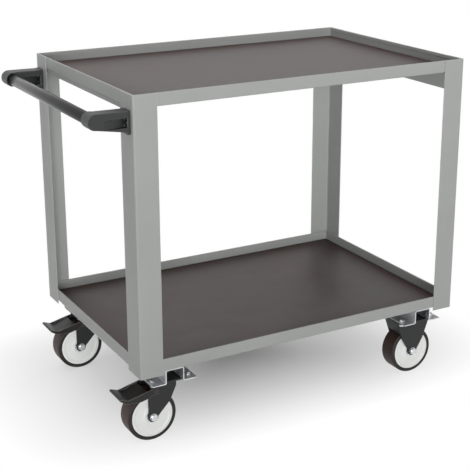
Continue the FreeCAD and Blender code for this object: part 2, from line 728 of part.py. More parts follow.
def make_rigid_fork(label):
    """Pressed rigid fork: two cheeks tapering to the axle, top, and a web at each end."""
    fork = new_body(label)
    knee_z = "wheel_radius + rigid_knee_up"
    top_x = "plate_half_x - rigid_top_inset"
    right = [
        ("foot_radius", "wheel_radius - foot_drop"), ("foot_radius", "wheel_radius"),
        ("rigid_knee_out", knee_z), (top_x, "plate_bottom"),
    ]
    left = [(f"-({x})", z) for x, z in reversed(right)]
    pad(fork, outline(fork, "XZ_Plane", right + left), "2 * fork_half", both=True)
    round_edges(fork, "fork_bend", lambda edge: near(abs(edge.CenterOfMass.y), "fork_half")
                and edge.BoundBox.ZMax > value(knee_z) + 1 and edge.BoundBox.ZMin < value("plate_bottom") - 1)
    web_z = "plate_bottom - rigid_web_drop"
    taper = f"({top_x} - rigid_knee_out) / (plate_bottom - ({knee_z}))"
    web_x = f"rigid_knee_out + {taper} * ({web_z} - ({knee_z})) - web_level"
    roof_x = f"{top_x} - {taper} * fork_sheet - web_level"
    roof = "plate_bottom - fork_sheet"
    inner = [(FAR, "-fork_headroom"), (FAR, web_z), (web_x, web_z), (roof_x, roof)]
    mirrored = [(f"-({x})", z) for x, z in reversed(inner)]
    pocket(fork, outline(fork, "XZ_Plane", inner + mirrored), "2 * fork_half_gap", both=True)
    round_foot(fork, "0")
    cut_cheek_holes(fork, ("0", "wheel_radius"), "axle_diameter + 2 * running_gap")
    return fork


def make_wheel(label, x, y):
    """Plastic wheel centre, rubber tyre and two bearings, turned about the axle."""
    half = "wheel_width / 2"
    core = new_body(f"{label}_wheel_core")
    bore = "wheel_bore / 2"
    seat = "bearing_outer / 2 + running_gap"
    shoulder = "hub_half - bearing_width"
    web = f"{half} - web_recess"
    rim = "core_radius - rim_thickness"
    front = [
        (bore, shoulder), (seat, shoulder), (seat, "hub_half"), ("hub_diameter / 2", "hub_half"),
        ("hub_diameter / 2", web), (rim, web), (rim, half), ("core_radius", half),
    ]
    back = [(radius, f"-({depth})") for radius, depth in reversed(front)]
    turned(core, front + back)
    put(lay_along_y(core), x, y, "wheel_radius")
    tyre = new_body(f"{label}_tyre")
    inside = "core_radius + running_gap"
    turned(tyre, [(inside, f"-{half}"), ("wheel_radius", f"-{half}"), ("wheel_radius", half), (inside, half)])
    round_edges(tyre, "tyre_shoulder", lambda edge: near(edge.BoundBox.XMax, "wheel_radius"))
    put(lay_along_y(tyre), x, y, "wheel_radius")
    rings = []
    for name, start in (("front", shoulder), ("rear", "-hub_half")):
        inner = "sleeve_diameter + 2 * running_gap"
        rings.append(ring(f"{label}_{name}_bearing", "bearing_outer", inner, "bearing_width", start))
    put(lay_along_y(group(f"{label}_wheel_bearings", rings)), x, y, "wheel_radius")


def axle_pieces(label):
    """Axle bolt, its nut and the sleeve clamped between the fork cheeks, about Z."""
    bolt = new_body(f"{label}_axle_bolt")
    end = "fork_half + axle_nut_height + axle_end"
    pad(bolt, hexagon(bolt, "XY_Plane", ("0", "0"), "axle_flats", "fork_half"), "axle_head")
    shank = circles(bolt, "XY_Plane", [("0", "0")], "axle_diameter", "fork_half")
    pad(bolt, shank, f"fork_half + {end}", back=True)
    nut = new_body(f"{label}_axle_nut")
    pad(nut, hexagon(nut, "XY_Plane", ("0", "0"), "axle_flats", "-fork_half"), "axle_nut_height", back=True)
    bore = circles(nut, "XY_Plane", [("0", "0")], "axle_diameter + 2 * running_gap")
    pocket(nut, bore, "4 * fork_half", both=True)
    inner = "axle_diameter + 2 * running_gap"
    sleeve = ring(f"{label}_axle_sleeve", "sleeve_diameter", inner, "2 * fork_half_gap", "-fork_half_gap")
    return bolt, nut, sleeve


# Brake pedal seen from the side: ahead of the axle, above the wheel top
PEDAL_SIDE = [
    (14, 13), (-10, 10), (-40, 3), (-56, -1), (-64, -2.5), (-74, 1), (-82, 4),
    (-86, 0), (-70, -10), (-54, -13), (-30, -14), (-10, -9), (2, -3), (14, -3),
]
PEDAL_TIP = -80
PEDAL_TREAD = [(-15.5, 40), (-15.5, 6.3), (-50, -4.7), (-61, -4.7), (-66, -1.8), (-66, 40)]
PEDAL_UNDERSIDE = [
    (40, 40), (-15.5, 40), (-15.5, 3.5), (-50, -7.5), (-54, -7.5), (-54, -40), (40, -40),
]


def pedal_outline(pedal, points):
    """An outline of the pedal, placed from the axle and the wheel top."""
    return outline(pedal, "XZ_Plane", [(f"axle_x + {u}", f"wheel_diameter + {v}") for u, v in points])


def make_pedal(label):
    """Brake pedal: sunk tread between side walls that straddle the fork, with a turned-up tip."""
    pedal = new_body(label)
    pad(pedal, pedal_outline(pedal, PEDAL_SIDE), "2 * pedal_half", both=True)
    round_edges(pedal, "pedal_nose", lambda edge: runs_along(edge, ALONG_Y)
                and edge.CenterOfMass.x < value(f"axle_x + {PEDAL_TIP}"))
    inner = "2 * (pedal_half - pedal_sheet)"
    for hollow in (PEDAL_TREAD, PEDAL_UNDERSIDE):
        pocket(pedal, pedal_outline(pedal, hollow), inner, both=True)
    cut_cheek_holes(pedal, ("pivot_x", "pivot_z"), "pin_diameter + 2 * running_gap")
    return pedal


def make_brake_pin(label):
    """Pivot pin of the brake pedal, flush with the pedal's side walls."""
    pin = doc.addObject("Part::Cylinder", label)
    pin.Label = label
    bind(pin, "Radius", "pin_diameter / 2")
    bind(pin, "Height", "2 * pedal_half")
    return lay_along_y(pin)


def make_swivel_caster(label, x, y):
    """Braked swivel caster."""
    put(make_plate(f"{label}_swivel_plate", swivel=True), x, y)
    put(make_kingpin(f"{label}_kingpin"), x, y)
    put(make_balls(f"{label}_swivel_balls"), x, y)
    put(make_swivel_fork(f"{label}_swivel_fork"), x, y)
    axle = f"{x} + axle_x"
    for piece in axle_pieces(label):
        put(lay_along_y(piece), axle, y, "wheel_radius")
    make_wheel(label, axle, y)
    put(make_pedal(f"{label}_brake_pedal"), x, y)
    put(make_brake_pin(f"{label}_brake_pin"), f"{x} + pivot_x", f"{y} + pedal_half", "pivot_z")


def make_rigid_casters(spots):
    """Rigid casters; their equal axle pieces share one node of each kind."""
    for label, x, y in spots:
        put(make_plate(f"{label}_rigid_plate", swivel=False), x, y)
        put(make_rigid_fork(f"{label}_rigid_fork"), x, y)
        make_wheel(label, x, y)
    for pattern in axle_pieces("rigid"):
        lay_along_y(pattern)
        put(copies(f"{pattern.Label}s", pattern, [(x, y, "wheel_radius") for _, x, y in spots]))


def make_caster_bolts():
    """Bolts and nuts that hold the plates to the channels."""
    bolt = new_body("caster_bolt")
    length = "channel_sheet + plate_thickness + nut_height + bolt_end"
    pad(bolt, hexagon(bolt, "XY_Plane", ("0", "0"), "bolt_flats"), "bolt_head")
    pad(bolt, circles(bolt, "XY_Plane", [("0", "0")], "bolt_diameter"), length, back=True)
    nut = new_body("caster_nut")
    pad(nut, hexagon(nut, "XY_Plane", ("0", "0"), "bolt_flats"), "nut_height", back=True)
    bore = circles(nut, "XY_Plane", [("0", "0")], "bolt_diameter + 2 * running_gap")
    pocket(nut, bore, "4 * nut_height", both=True)
    spots = []
    for _, sx in ENDS:
        for _, sy in SIDES:
            for u, v in rectangle("bolt_x", "bolt_y"):
                spots.append((f"{sx} * caster_x + {u}", f"{sy} * caster_y + {v}"))
    put(copies("caster_bolts", bolt, [(x, y, "flange_top") for x, y in spots]))
    put(copies("caster_nuts", nut, [(x, y, "plate_bottom") for x, y in spots]))


# Whole cart

def make_cart():
    """Every piece of the cart, from the frame down to the casters."""
    for end, sx in ENDS:
        for side, sy in SIDES:
            make_leg(side, sy, end, sx)
    for level, bottom in (("upper", "upper_tray_bottom"), ("lower", "lower_tray_bottom")):
        make_tray(f"{level}_tray", bottom)
        make_mat(f"{level}_mat", bottom)
    for end, sx in ENDS:
        make_end_rail(end, sx)
        make_caster_channel(end, sx)
    make_stiffener("upper_stiffener", "upper_tray_bottom", "rail_inner")
    make_stiffener("lower_stiffener", "lower_tray_bottom", "caster_x - channel_web / 2")
    make_handle()
    for side, sy in SIDES:
        make_swivel_caster(f"{side}_left", "-caster_x", f"{sy} * caster_y")
    make_rigid_casters([(f"{side}_right", "caster_x", f"{sy} * caster_y") for side, sy in SIDES])
    make_caster_bolts()


# Export

def check_and_write():
    """Stop on any failed object, then write each piece to its own file."""
    doc.recompute()
    broken = [thing.Label for thing in doc.Objects if {"Invalid", "Error"} & set(thing.State)]
    for piece in pieces:
        if piece.Shape.isNull() or not piece.Shape.isValid():
            broken.append(piece.Label)
    if broken:
        raise RuntimeError("failed: " + ", ".join(sorted(set(broken))))
    os.makedirs("parts", exist_ok=True)
    for piece in pieces:
        piece.Shape.exportStep(f"parts/{piece.Label}.step")
    print(len(pieces), "pieces written")


make_sheets()
make_cart()
check_and_write()
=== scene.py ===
import logging
import math
from abc import ABC, abstractmethod
from dataclasses import dataclass, field
from enum import Enum
from functools import cache
from typing import Any, Iterable, Sequence

import bmesh
import bpy
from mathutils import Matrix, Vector


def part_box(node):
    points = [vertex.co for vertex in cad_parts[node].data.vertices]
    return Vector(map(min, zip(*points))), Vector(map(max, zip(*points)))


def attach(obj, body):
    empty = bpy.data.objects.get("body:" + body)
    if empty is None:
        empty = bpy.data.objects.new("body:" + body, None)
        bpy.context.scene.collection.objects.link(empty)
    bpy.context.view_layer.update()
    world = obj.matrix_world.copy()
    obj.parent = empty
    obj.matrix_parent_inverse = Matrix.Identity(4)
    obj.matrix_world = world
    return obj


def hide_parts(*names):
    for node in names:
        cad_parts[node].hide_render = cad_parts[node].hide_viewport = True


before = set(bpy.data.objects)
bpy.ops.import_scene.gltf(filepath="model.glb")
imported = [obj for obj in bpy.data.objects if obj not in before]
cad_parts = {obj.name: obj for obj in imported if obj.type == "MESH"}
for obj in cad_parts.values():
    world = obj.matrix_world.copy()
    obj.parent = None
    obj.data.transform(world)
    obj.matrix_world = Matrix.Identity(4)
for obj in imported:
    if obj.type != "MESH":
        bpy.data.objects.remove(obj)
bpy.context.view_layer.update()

log = logging.getLogger("tool_cart")

Pair = tuple[float, float]
Point = tuple[float, float, float]
Places = Iterable[Sequence[float]]
Tree = bpy.types.NodeTree
Node = bpy.types.Node
Socket = bpy.types.NodeSocket
Source = Node | Socket
Mesh = bpy.types.Mesh
Shape = bpy.types.Object

# In millimetres: corners as near as the first are merged, and edges as short as the second are dissolved
MERGE = 0.002
SLIVER = 0.001
# In degrees: faces that differ by less than the first are joined, edges above the second are rounded on a
# copied node, and edges above the third stay sharp on a grown piece
LEVEL = 0.3
ROUNDED_ABOVE = 32.0
SHARP_ABOVE = 30.0
# Faces across a rounding, and across one on a piece that shows large or near
EDGE_STEPS = 2
FINE_EDGE_STEPS = 3
# A moulding's ridge gets its full paler painted highlight where it stands proud by this share of the size of
# the mesh's faces
RIDGE = 0.15
# Share of the way to its neighbours that each smoothing pass moves a moulding's point
SOFTENING = 0.5
# A hexagon's chamfer: radius of its circle as a share of the width across flats, and its run at 30 degrees
CHAMFER_CIRCLE = 0.475
CHAMFER_RUN = math.sqrt(3.0)
# Faces round a chamfer or washer, a shank, a screw's dome and a spot weld
CHAMFER_STEPS = 36
SHANK_STEPS = 24
DOME_STEPS = 32
WELD_STEPS = 20
# Numbers of the sockets for colours on a Mix node and for single values on a Random Value node, because other
# sockets there have the same names
MIX_A, MIX_B, MIX_RESULT = 6, 7, 2
CHANCE_MIN, CHANCE_MAX, CHANCE_RESULT = 2, 3, 1


class Body(Enum):
    """Rigid bodies that carry the pieces."""

    FRAME = "cart_frame"
    FRONT_LEFT_FORK = "front_left_swivel"
    REAR_LEFT_FORK = "rear_left_swivel"
    FRONT_LEFT_PEDAL = "front_left_brake"
    REAR_LEFT_PEDAL = "rear_left_brake"
    FRONT_LEFT_WHEEL = "front_left_wheel"
    REAR_LEFT_WHEEL = "rear_left_wheel"
    FRONT_RIGHT_WHEEL = "front_right_wheel"
    REAR_RIGHT_WHEEL = "rear_right_wheel"


class Corner(Enum):
    """Corners of the cart, each with a caster."""

    FRONT_LEFT = "front_left"
    REAR_LEFT = "rear_left"
    FRONT_RIGHT = "front_right"
    REAR_RIGHT = "rear_right"

    @property
    def swivels(self) -> bool:
        """True for the two corners under the handle."""
        return self in (Corner.FRONT_LEFT, Corner.REAR_LEFT)

    @property
    def kind(self) -> str:
        """Word for this corner's caster in the names of its plate and fork."""
        return "swivel" if self.swivels else "rigid"

    @property
    def axle(self) -> Vector:
        """Middle of this corner's wheel in metres."""
        low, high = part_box(f"{self.value}_tyre")
        return (low + high) / 2.0

    @property
    def wheel(self) -> Body:
        """Body of this corner's wheel."""
        return Body(f"{self.value}_wheel")

    @property
    def fork(self) -> Body:
        """Body of this corner's fork."""
        return Body(f"{self.value}_swivel") if self.swivels else Body.FRAME

    @property
    def pedal(self) -> Body:
        """Body of this corner's brake pedal, which only a swivel caster has."""
        return Body(f"{self.value}_brake")


class Facing(Enum):
    """Direction that a fastener's head points in."""

    UP = (0.0, 0.0, 1.0)
    DOWN = (0.0, 0.0, -1.0)
    FRONT = (0.0, -1.0, 0.0)
    REAR = (0.0, 1.0, 0.0)
    LEFT = (-1.0, 0.0, 0.0)
    RIGHT = (1.0, 0.0, 0.0)


class Seed(Enum):
    """Fixed seeds of the turns that chance gives to the fasteners."""

    CASTER_BOLTS = 3
    CASTER_NUTS = 4
    HANDLE_SCREWS = 5
    HANDLE_NUTS = 6
    AXLE_BOLTS = 7
    AXLE_NUTS = 8


# Units, colours and nodes


def mm(length: float) -> float:
    """Millimetres as metres."""
    return length / 1000.0


def per_metre(size: float) -> float:
    """Texture scale for a pattern whose features measure size millimetres."""
    return 1000.0 / size


def linear(code: str) -> tuple[float, float, float, float]:
    """Turn an sRGB hex colour to linear RGBA by the sRGB curve.

    Args:
        code: colour such as "#A8AAA8".

    Returns:
        Linear red, green, blue and an alpha of one.
    """
    shares = [int(code[start:start + 2], 16) / 255.0 for start in (1, 3, 5)]
    red, green, blue = [s / 12.92 if s <= 0.04045 else ((s + 0.055) / 1.055) ** 2.4 for s in shares]
    return red, green, blue, 1.0


def add_node(tree: Tree, kind: str, settings: dict[str, Any] | None = None,
             inputs: dict[str | int, Any] | None = None) -> Node:
    """Add a node with its settings, and set or link its inputs.

    Args:
        tree: tree that gets the node.
        kind: Blender's type name of the node.
        settings: properties of the node.
        inputs: sockets, by name or number, with what feed takes for them.

    Returns:
        The new node.
    """
    node = tree.nodes.new(kind)
    for name, setting in (settings or {}).items():
        setattr(node, name, setting)
    feed(tree, node, inputs or {})
    return node


def feed(tree: Tree, node: Node, inputs: dict[str | int, Any]) -> None:
    """Set or link inputs of a node.

    Args:
        tree: tree that holds the node.
        node: node to feed.
        inputs: sockets, by name or number, with a constant, an output, a node in place of its first output,
            or a list of such sources that meet there.
    """
    for socket, source in inputs.items():
        for item in source if isinstance(source, list) else [source]:
            output = item.outputs[0] if isinstance(item, Node) else item
            if isinstance(output, Socket):
                tree.links.new(output, node.inputs[socket])
            else:
                node.inputs[socket].default_value = output


# Finishes


@dataclass(frozen=True)
class Finish:
    """A finish: its name, its material slot's name, which this script doesn't use, its two tones and its mean
    roughness.

    Clouds mix the tones and make the roughness swing below and above its mean; a span is the stretch of their
    values that is drawn out for that. A grain makes the bump: relief is its strength, and depth its height.
    Depths and the widths of patterns are in millimetres.
    """

    name: str
    slot: str
    colour: str
    second: str
    roughness: float
    swing: Pair = (0.06, 0.06)
    cloud: float = 60.0
    cloud_detail: float = 4.0
    cloud_roughness: float = 0.5
    cloud_bend: float = 0.0
    tone_span: Pair = (0.0, 1.0)
    gloss_span: Pair = (0.0, 1.0)
    grain: float = 0.0
    grain_kind: str = "ShaderNodeTexNoise"
    grain_detail: float = 2.0
    relief: float = 0.3
    depth: float = 0.05
    ior: float = 1.52
    specular: float = 0.5
    metallic: bool = False

    def material(self) -> bpy.types.Material:
        """Give the Blender material of this finish, which is made once.

        Returns:
            The material.
        """
        known = bpy.data.materials.get(self.name)
        if known:
            return known
        material = bpy.data.materials.new(self.name)
        material.use_nodes = True
        tree = material.node_tree
        place = add_node(tree, "ShaderNodeTexCoord").outputs["Object"]
        plain = {"IOR": self.ior, "Specular IOR Level": self.specular}
        optics = {"Metallic": 1.0} if self.metallic else plain
        feed(tree, tree.nodes["Principled BSDF"], {**self.shade(tree, place), **optics})
        return material

    def shade(self, tree: Tree, place: Socket) -> dict[str, Source]:
        """Add the nodes of colour, gloss and relief.

        Args:
            tree: node tree of the material.
            place: object coordinates in metres.

        Returns:
            The shader's inputs.
        """
        tone, gloss = self.patterns(tree, place)
        share = add_node(tree, "ShaderNodeMapRange", {}, {
            "Value": tone, "From Min": self.tone_span[0], "From Max": self.tone_span[1]})
        colour: Any = linear(self.colour)
        for pattern, code in ((share, self.second), *self.marks(tree, place, tone)):
            mixed = add_node(tree, "ShaderNodeMix", {"data_type": "RGBA"}, {
                0: pattern, MIX_A: colour, MIX_B: linear(code)})
            colour = mixed.outputs[MIX_RESULT]
        below, above = self.swing
        rough = add_node(tree, "ShaderNodeMapRange", {}, {
            "Value": gloss, "From Min": self.gloss_span[0], "From Max": self.gloss_span[1],
            "To Min": self.roughness - below, "To Max": self.roughness + above})
        inputs: dict[str, Source] = {"Base Color": colour, "Roughness": rough}
        if self.grain:
            grain = add_node(tree, self.grain_kind, {}, {
                "Vector": place, "Scale": per_metre(self.grain), "Detail": self.grain_detail})
            inputs["Normal"] = add_node(tree, "ShaderNodeBump", {}, {
                "Strength": self.relief, "Distance": mm(self.depth), "Height": grain})
        return inputs

    def patterns(self, tree: Tree, place: Socket) -> tuple[Source, Source]:
        """Add the clouds.

        Args:
            tree: node tree of the material.
            place: object coordinates in metres.

        Returns:
            The patterns of tone and gloss.
        """
        cloud = add_node(tree, "ShaderNodeTexNoise", {}, {
            "Vector": place, "Scale": per_metre(self.cloud), "Detail": self.cloud_detail,
            "Roughness": self.cloud_roughness, "Distortion": self.cloud_bend})
        return cloud, cloud

    def marks(self, tree: Tree, place: Socket, tone: Source) -> list[tuple[Source, str]]:
        """Add what lies over the tones, each pattern with its colour; a plain finish has nothing there."""
        return []


@dataclass(frozen=True)
class EdgedFinish(Finish):
    """A finish whose edges, which the attribute "edge" marks, are paler: partly from the coat there, partly a
    painted highlight.
    """

    # Colour of the paler edges, which is partly a painted highlight
    edge: str = "#3A3B3B"
    wear: float = 1.0

    def marks(self, tree: Tree, place: Socket, tone: Source) -> list[tuple[Source, str]]:
        """Add the paler edges, partly a painted highlight.

        Args:
            tree: node tree of the material.
            place: object coordinates in metres.
            tone: pattern of tone.

        Returns:
            The pattern of the edges with their colour.
        """
        # The paler edges are partly a painted highlight
        rim = add_node(tree, "ShaderNodeAttribute", {"attribute_name": "edge"})
        highlight_and_wear_edges = add_node(tree, "ShaderNodeMath", {"operation": "MULTIPLY"}, {
            0: rim.outputs["Fac"], 1: self.wear})
        return [(highlight_and_wear_edges, self.edge)]


@dataclass(frozen=True)
class PowderCoat(EdgedFinish):
    """Sprayed and baked powder: an orange peel, soft clouds of tone, and edges that are thinner and paler,
    partly a painted highlight.
    """

    grain: float = 1.6
    relief: float = 0.35
    ior: float = 1.5
    specular: float = 0.4
    wear: float = 0.6


@dataclass(frozen=True)
class MouldedPlastic(EdgedFinish):
    """Injection-moulded plastic: an even spark-eroded grain, faint flow clouds and paler edges, a painted
    highlight.
    """

    swing: Pair = (0.05, 0.05)
    cloud: float = 45.0
    cloud_detail: float = 3.0
    cloud_bend: float = 0.6
    grain: float = 2.2
    grain_kind: str = "ShaderNodeTexVoronoi"
    grain_detail: float = 0.0
    depth: float = 0.1
    # Paler colour of the edges and ridges, a painted highlight
    edge: str = "#545556"


@dataclass(frozen=True)
class RubberLining(Finish):
    """Calendered rubber sheet: a dense low grain, cloudy sheen, pale scuffs along it and a border of painted
    shade.

    Scuffs begin and are full at the values of their span. Most is how strong a mark gets.
    """

    swing: Pair = (0.05, 0.07)
    cloud: float = 210.0
    cloud_detail: float = 5.0
    cloud_roughness: float = 0.6
    tone_span: Pair = (0.36, 0.6)
    gloss_span: Pair = (0.3, 0.7)
    grain: float = 5.0
    grain_detail: float = 3.0
    relief: float = 0.35
    depth: float = 0.3
    specular: float = 0.28
    scuff: str = "#655A56"
    scuff_width: float = 9.0
    scuff_detail: float = 3.0
    scuff_slimness: float = 0.06
    scuff_span: Pair = (0.62, 0.8)
    scuff_most: float = 0.35
    # Darker brown at the rim, painted shade: its colour, the width of its border and how strong it gets
    soil: str = "#35211C"
    soil_border: float = 120.0
    soil_most: float = 0.75

    def marks(self, tree: Tree, place: Socket, tone: Source) -> list[tuple[Source, str]]:
        """Add scuffs and the painted shade of the border.

        Args:
            tree: node tree of the material.
            place: object coordinates in metres.
            tone: pattern of tone.

        Returns:
            The patterns of scuffs and of the border's painted shade, with their colours.
        """
        drawn = add_node(tree, "ShaderNodeMapping", {}, {
            "Vector": place, "Scale": (self.scuff_slimness, 1.0, 1.0)})
        streak = add_node(tree, "ShaderNodeTexNoise", {}, {
            "Vector": drawn, "Scale": per_metre(self.scuff_width), "Detail": self.scuff_detail})
        scuffs = add_node(tree, "ShaderNodeMapRange", {}, {
            "Value": streak, "From Min": self.scuff_span[0], "From Max": self.scuff_span[1],
            "To Max": self.scuff_most})
        # The darker brown border is painted shade
        return [(scuffs, self.scuff), (self.border(tree, place), self.soil)]

    def border(self, tree: Tree, place: Socket) -> Node:
        """Find the border of painted shade; the linings lie one above the other, so the upper one's box
        serves for both.

        Args:
            tree: node tree of the material.
            place: object coordinates in metres.

        Returns:
            How much painted shade a lining gets, from none inside the border to the most at its rim.
        """
        low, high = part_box("upper_mat")
        middle = (low + high) / 2.0
        half = (high - low) / 2.0
        width = mm(self.soil_border)
        centred = add_node(tree, "ShaderNodeMapping", {}, {
            "Vector": place, "Location": (-middle.x, -middle.y, 0.0)})
        sides = add_node(tree, "ShaderNodeVectorMath", {"operation": "ABSOLUTE"}, {0: centred})
        past = add_node(tree, "ShaderNodeVectorMath", {"operation": "SUBTRACT"}, {
            0: sides, 1: (half.x - width, half.y - width, 0.0)})
        apart = add_node(tree, "ShaderNodeSeparateXYZ", {}, {0: past})
        outer = add_node(tree, "ShaderNodeMath", {"operation": "MAXIMUM"}, {
            0: apart.outputs["X"], 1: apart.outputs["Y"]})
        return add_node(tree, "ShaderNodeMapRange", {"interpolation_type": "SMOOTHSTEP"}, {
            "Value": outer, "From Max": width, "To Max": self.soil_most})


@dataclass(frozen=True)
class TyreRubber(Finish):
    """Vulcanised rubber: black sides, and a brown tread of dust and painted reflection; the attribute "tread"
    marks it.
    """

    swing: Pair = (0.08, 0.1)
    cloud: float = 28.0
    cloud_detail: float = 5.0
    cloud_roughness: float = 0.65
    grain: float = 1.1
    depth: float = 0.08
    specular: float = 0.3
    # Brown of the tread: partly dust, partly a painted reflection of the brown linings
    tread: str = "#39241F"
    tread_strength: float = 1.6

    def marks(self, tree: Tree, place: Socket, tone: Source) -> list[tuple[Source, str]]:
        """Add the tread's brown, partly dust and partly a painted reflection.

        Args:
            tree: node tree of the material.
            place: object coordinates in metres.
            tone: pattern of tone, which is the dust.

        Returns:
            The pattern of the tread's dust and painted reflection, with its colour.
        """
        tread = add_node(tree, "ShaderNodeAttribute", {"attribute_name": "tread"})
        dusty = add_node(tree, "ShaderNodeMath", {"operation": "MULTIPLY"}, {
            0: tread.outputs["Fac"], 1: tone})
        # The tread's brown: dust and a painted reflection
        tread_reflection_and_dust = add_node(tree, "ShaderNodeMath", {"operation": "MULTIPLY", "use_clamp": True}, {
            0: dusty, 1: self.tread_strength})
        return [(tread_reflection_and_dust, self.tread)]


@dataclass(frozen=True)
class ZincSheet(EdgedFinish):
    """Hot-dip galvanised sheet: flat crystals of zinc, each with its own tone and gloss, and a painted
    highlight at cut edges.

    Waves of a given width push the borders of the crystals about by up to the bend.
    """

    swing: Pair = (0.08, 0.1)
    metallic: bool = True
    edge: str = "#DADCDD"
    crystal: float = 7.0
    wave: float = 12.0
    bend: float = 4.0

    def patterns(self, tree: Tree, place: Socket) -> tuple[Source, Source]:
        """Add the crystals.

        Args:
            tree: node tree of the material.
            place: object coordinates in metres.

        Returns:
            The patterns of tone and gloss.
        """
        wave = add_node(tree, "ShaderNodeTexNoise", {}, {"Vector": place, "Scale": per_metre(self.wave)})
        push = add_node(tree, "ShaderNodeVectorMath", {"operation": "SCALE"}, {
            0: wave.outputs["Color"], "Scale": mm(self.bend)})
        spot = add_node(tree, "ShaderNodeVectorMath", {"operation": "ADD"}, {0: place, 1: push})
        crystals = add_node(tree, "ShaderNodeTexVoronoi", {}, {
            "Vector": spot, "Scale": per_metre(self.crystal)})
        shares = add_node(tree, "ShaderNodeSeparateColor", {}, {"Color": crystals.outputs["Color"]})
        return shares.outputs["Red"], shares.outputs["Green"]


@dataclass(frozen=True)
class PlatedSteel(Finish):
    """Plated or blackened turned steel: even metal under a thin cloudy film."""

    swing: Pair = (0.07, 0.09)
    cloud: float = 5.0
    metallic: bool = True


# Grey powder, sprayed and baked on folded sheet: an even satin grey with a soft orange peel in the lights and
# paler lines along the edges, partly where the coat runs thin and partly a painted highlight. Real peel is
# about
# 2 mm wide, which the render can't show, so it is drawn at 6 mm and deeper.
GREY_COAT = PowderCoat("grey_powder_coated_sheet_steel", "frame_paint", "#ABADAB", "#A1A3A1", 0.48,
                       depth=0.22, specular=0.32, edge="#C2C4C2", grain=6.0, cloud=150.0)
# Black powder on pressed plates and forks: satin black, greyer along the edges, partly a thinner coat and
# partly a painted highlight. The peel has its real width, because a coarser one would look lumpy on pieces
# this small.
BLACK_COAT = PowderCoat("black_powder_coated_pressing", "caster_black", "#1D1E1E", "#171818", 0.42, grain=1.8)
# Brownish black powder on pressed pedals: a warm black with pale edges, partly rubbed by shoes, partly a
# painted highlight.
PEDAL_COAT = PowderCoat("brown_black_coated_pedal", "pedal_black", "#191514", "#13100F", 0.36, edge="#8E8A86",
                        wear=0.75, cloud=40.0)
# Smooth black powder on a drawn tube: glossier and almost without peel, so a clear light runs along the bar.
TUBE_COAT = PowderCoat("black_coated_tube", "tube_black", "#131414", "#0F1010", 0.2,
                       depth=0.01, specular=0.22, cloud=90.0)
# Black polyamide, moulded in a spark-eroded die: matt charcoal brackets whose ridges are paler, a painted
# highlight. The real grain is about 0.1 mm wide and is drawn at 2.2 mm, so that it shows close by.
BLACK_PLASTIC = MouldedPlastic("black_moulded_polyamide", "black_plastic", "#252627", "#1F2021", 0.44)
# White polyamide, moulded: clean white wheel centres with a dull sheen. Their grain is drawn coarse as above.
# Its edges are a shade paler, a painted highlight
WHITE_PLASTIC = MouldedPlastic("white_moulded_polyamide", "wheel_plastic", "#F8F9F7", "#EFF0ED", 0.45,
                               edge="#FAFAF8", grain=2.4)
# Rubber sheet, rolled between calenders: a dull brownish charcoal with soft patches, and browner and darker
# at the rim as painted shade. The real grain is under 1 mm wide, which the render can't show, so it is drawn
# at 5 mm.
LINING = RubberLining("calendered_rubber_lining", "shelf_mat", "#41342F", "#504C4B", 0.46)
# Vulcanised tyre rubber: soft black sides and a brown tread, partly dust and partly a painted reflection of
# the brown linings. The real grain is about 0.2 mm wide. It is drawn at 1.1 mm, so that it shows close by.
TYRE = TyreRubber("vulcanised_tyre_rubber", "tyre_rubber", "#1F1E1D", "#282625", 0.48)
# Galvanised sheet: pale metal broken into crystals about 7 mm wide that catch the light one by one.
# Its paler edges are a painted highlight
ZINC_SHEET = ZincSheet("galvanised_sheet_steel", "zinc_steel", "#BEC1C3", "#DADCDD", 0.5)
# Bright zinc on turned steel: small sharp lights on bolt heads and nuts, softened by a cloudy film.
BRIGHT_STEEL = PlatedSteel("bright_zinc_plated_steel", "bright_steel", "#C9CCCF", "#DADCDD", 0.27)
# Steel blackened in an oxide bath: dark screws and pins with a dull metal light.
BLACK_STEEL = PlatedSteel("blackened_steel", "black_steel", "#38393A", "#2C2D2E", 0.4)


# Meshes


def new_object(name: str, data: bpy.types.ID) -> Shape:
    """Put a mesh, a lamp or a camera into the scene as an object at the origin.

    Args:
        name: name of the object.
        data: the mesh, lamp or camera.

    Returns:
        The object.
    """
    made = bpy.data.objects.new(name, data)
    bpy.context.scene.collection.objects.link(made)
    return made


def baked(made: Shape) -> Mesh:
    """Bake an object's modifiers and remove the object.

    Args:
        made: object with live modifiers.

    Returns:
        A plain mesh of what the modifiers give, with the object's name.
    """
    graph = bpy.context.evaluated_depsgraph_get()
    mesh = bpy.data.meshes.new_from_object(made.evaluated_get(graph), depsgraph=graph)
    name, source = made.name, made.data
    bpy.data.objects.remove(made)
    bpy.data.meshes.remove(source)
    mesh.name = name
    return mesh


def joined_faces(node: str) -> Mesh:
    """Copy a node's mesh with its corners merged and its flat triangles joined.

    Args:
        node: name of the node.

    Returns:
        The new mesh.
    """
    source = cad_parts[node].data
    work = bmesh.new()
    corners = [work.verts.new(vertex.co) for vertex in source.vertices]
    for face in source.polygons:
        work.faces.new([corners[index] for index in face.vertices])
    bmesh.ops.remove_doubles(work, verts=work.verts, dist=mm(MERGE))
    bmesh.ops.dissolve_degenerate(work, edges=work.edges, dist=mm(SLIVER))
    bmesh.ops.dissolve_limit(work, angle_limit=math.radians(LEVEL), verts=work.verts, edges=work.edges)
    mesh = bpy.data.meshes.new(node)
    work.to_mesh(mesh)
    work.free()
    mesh.shade_smooth()
    return mesh


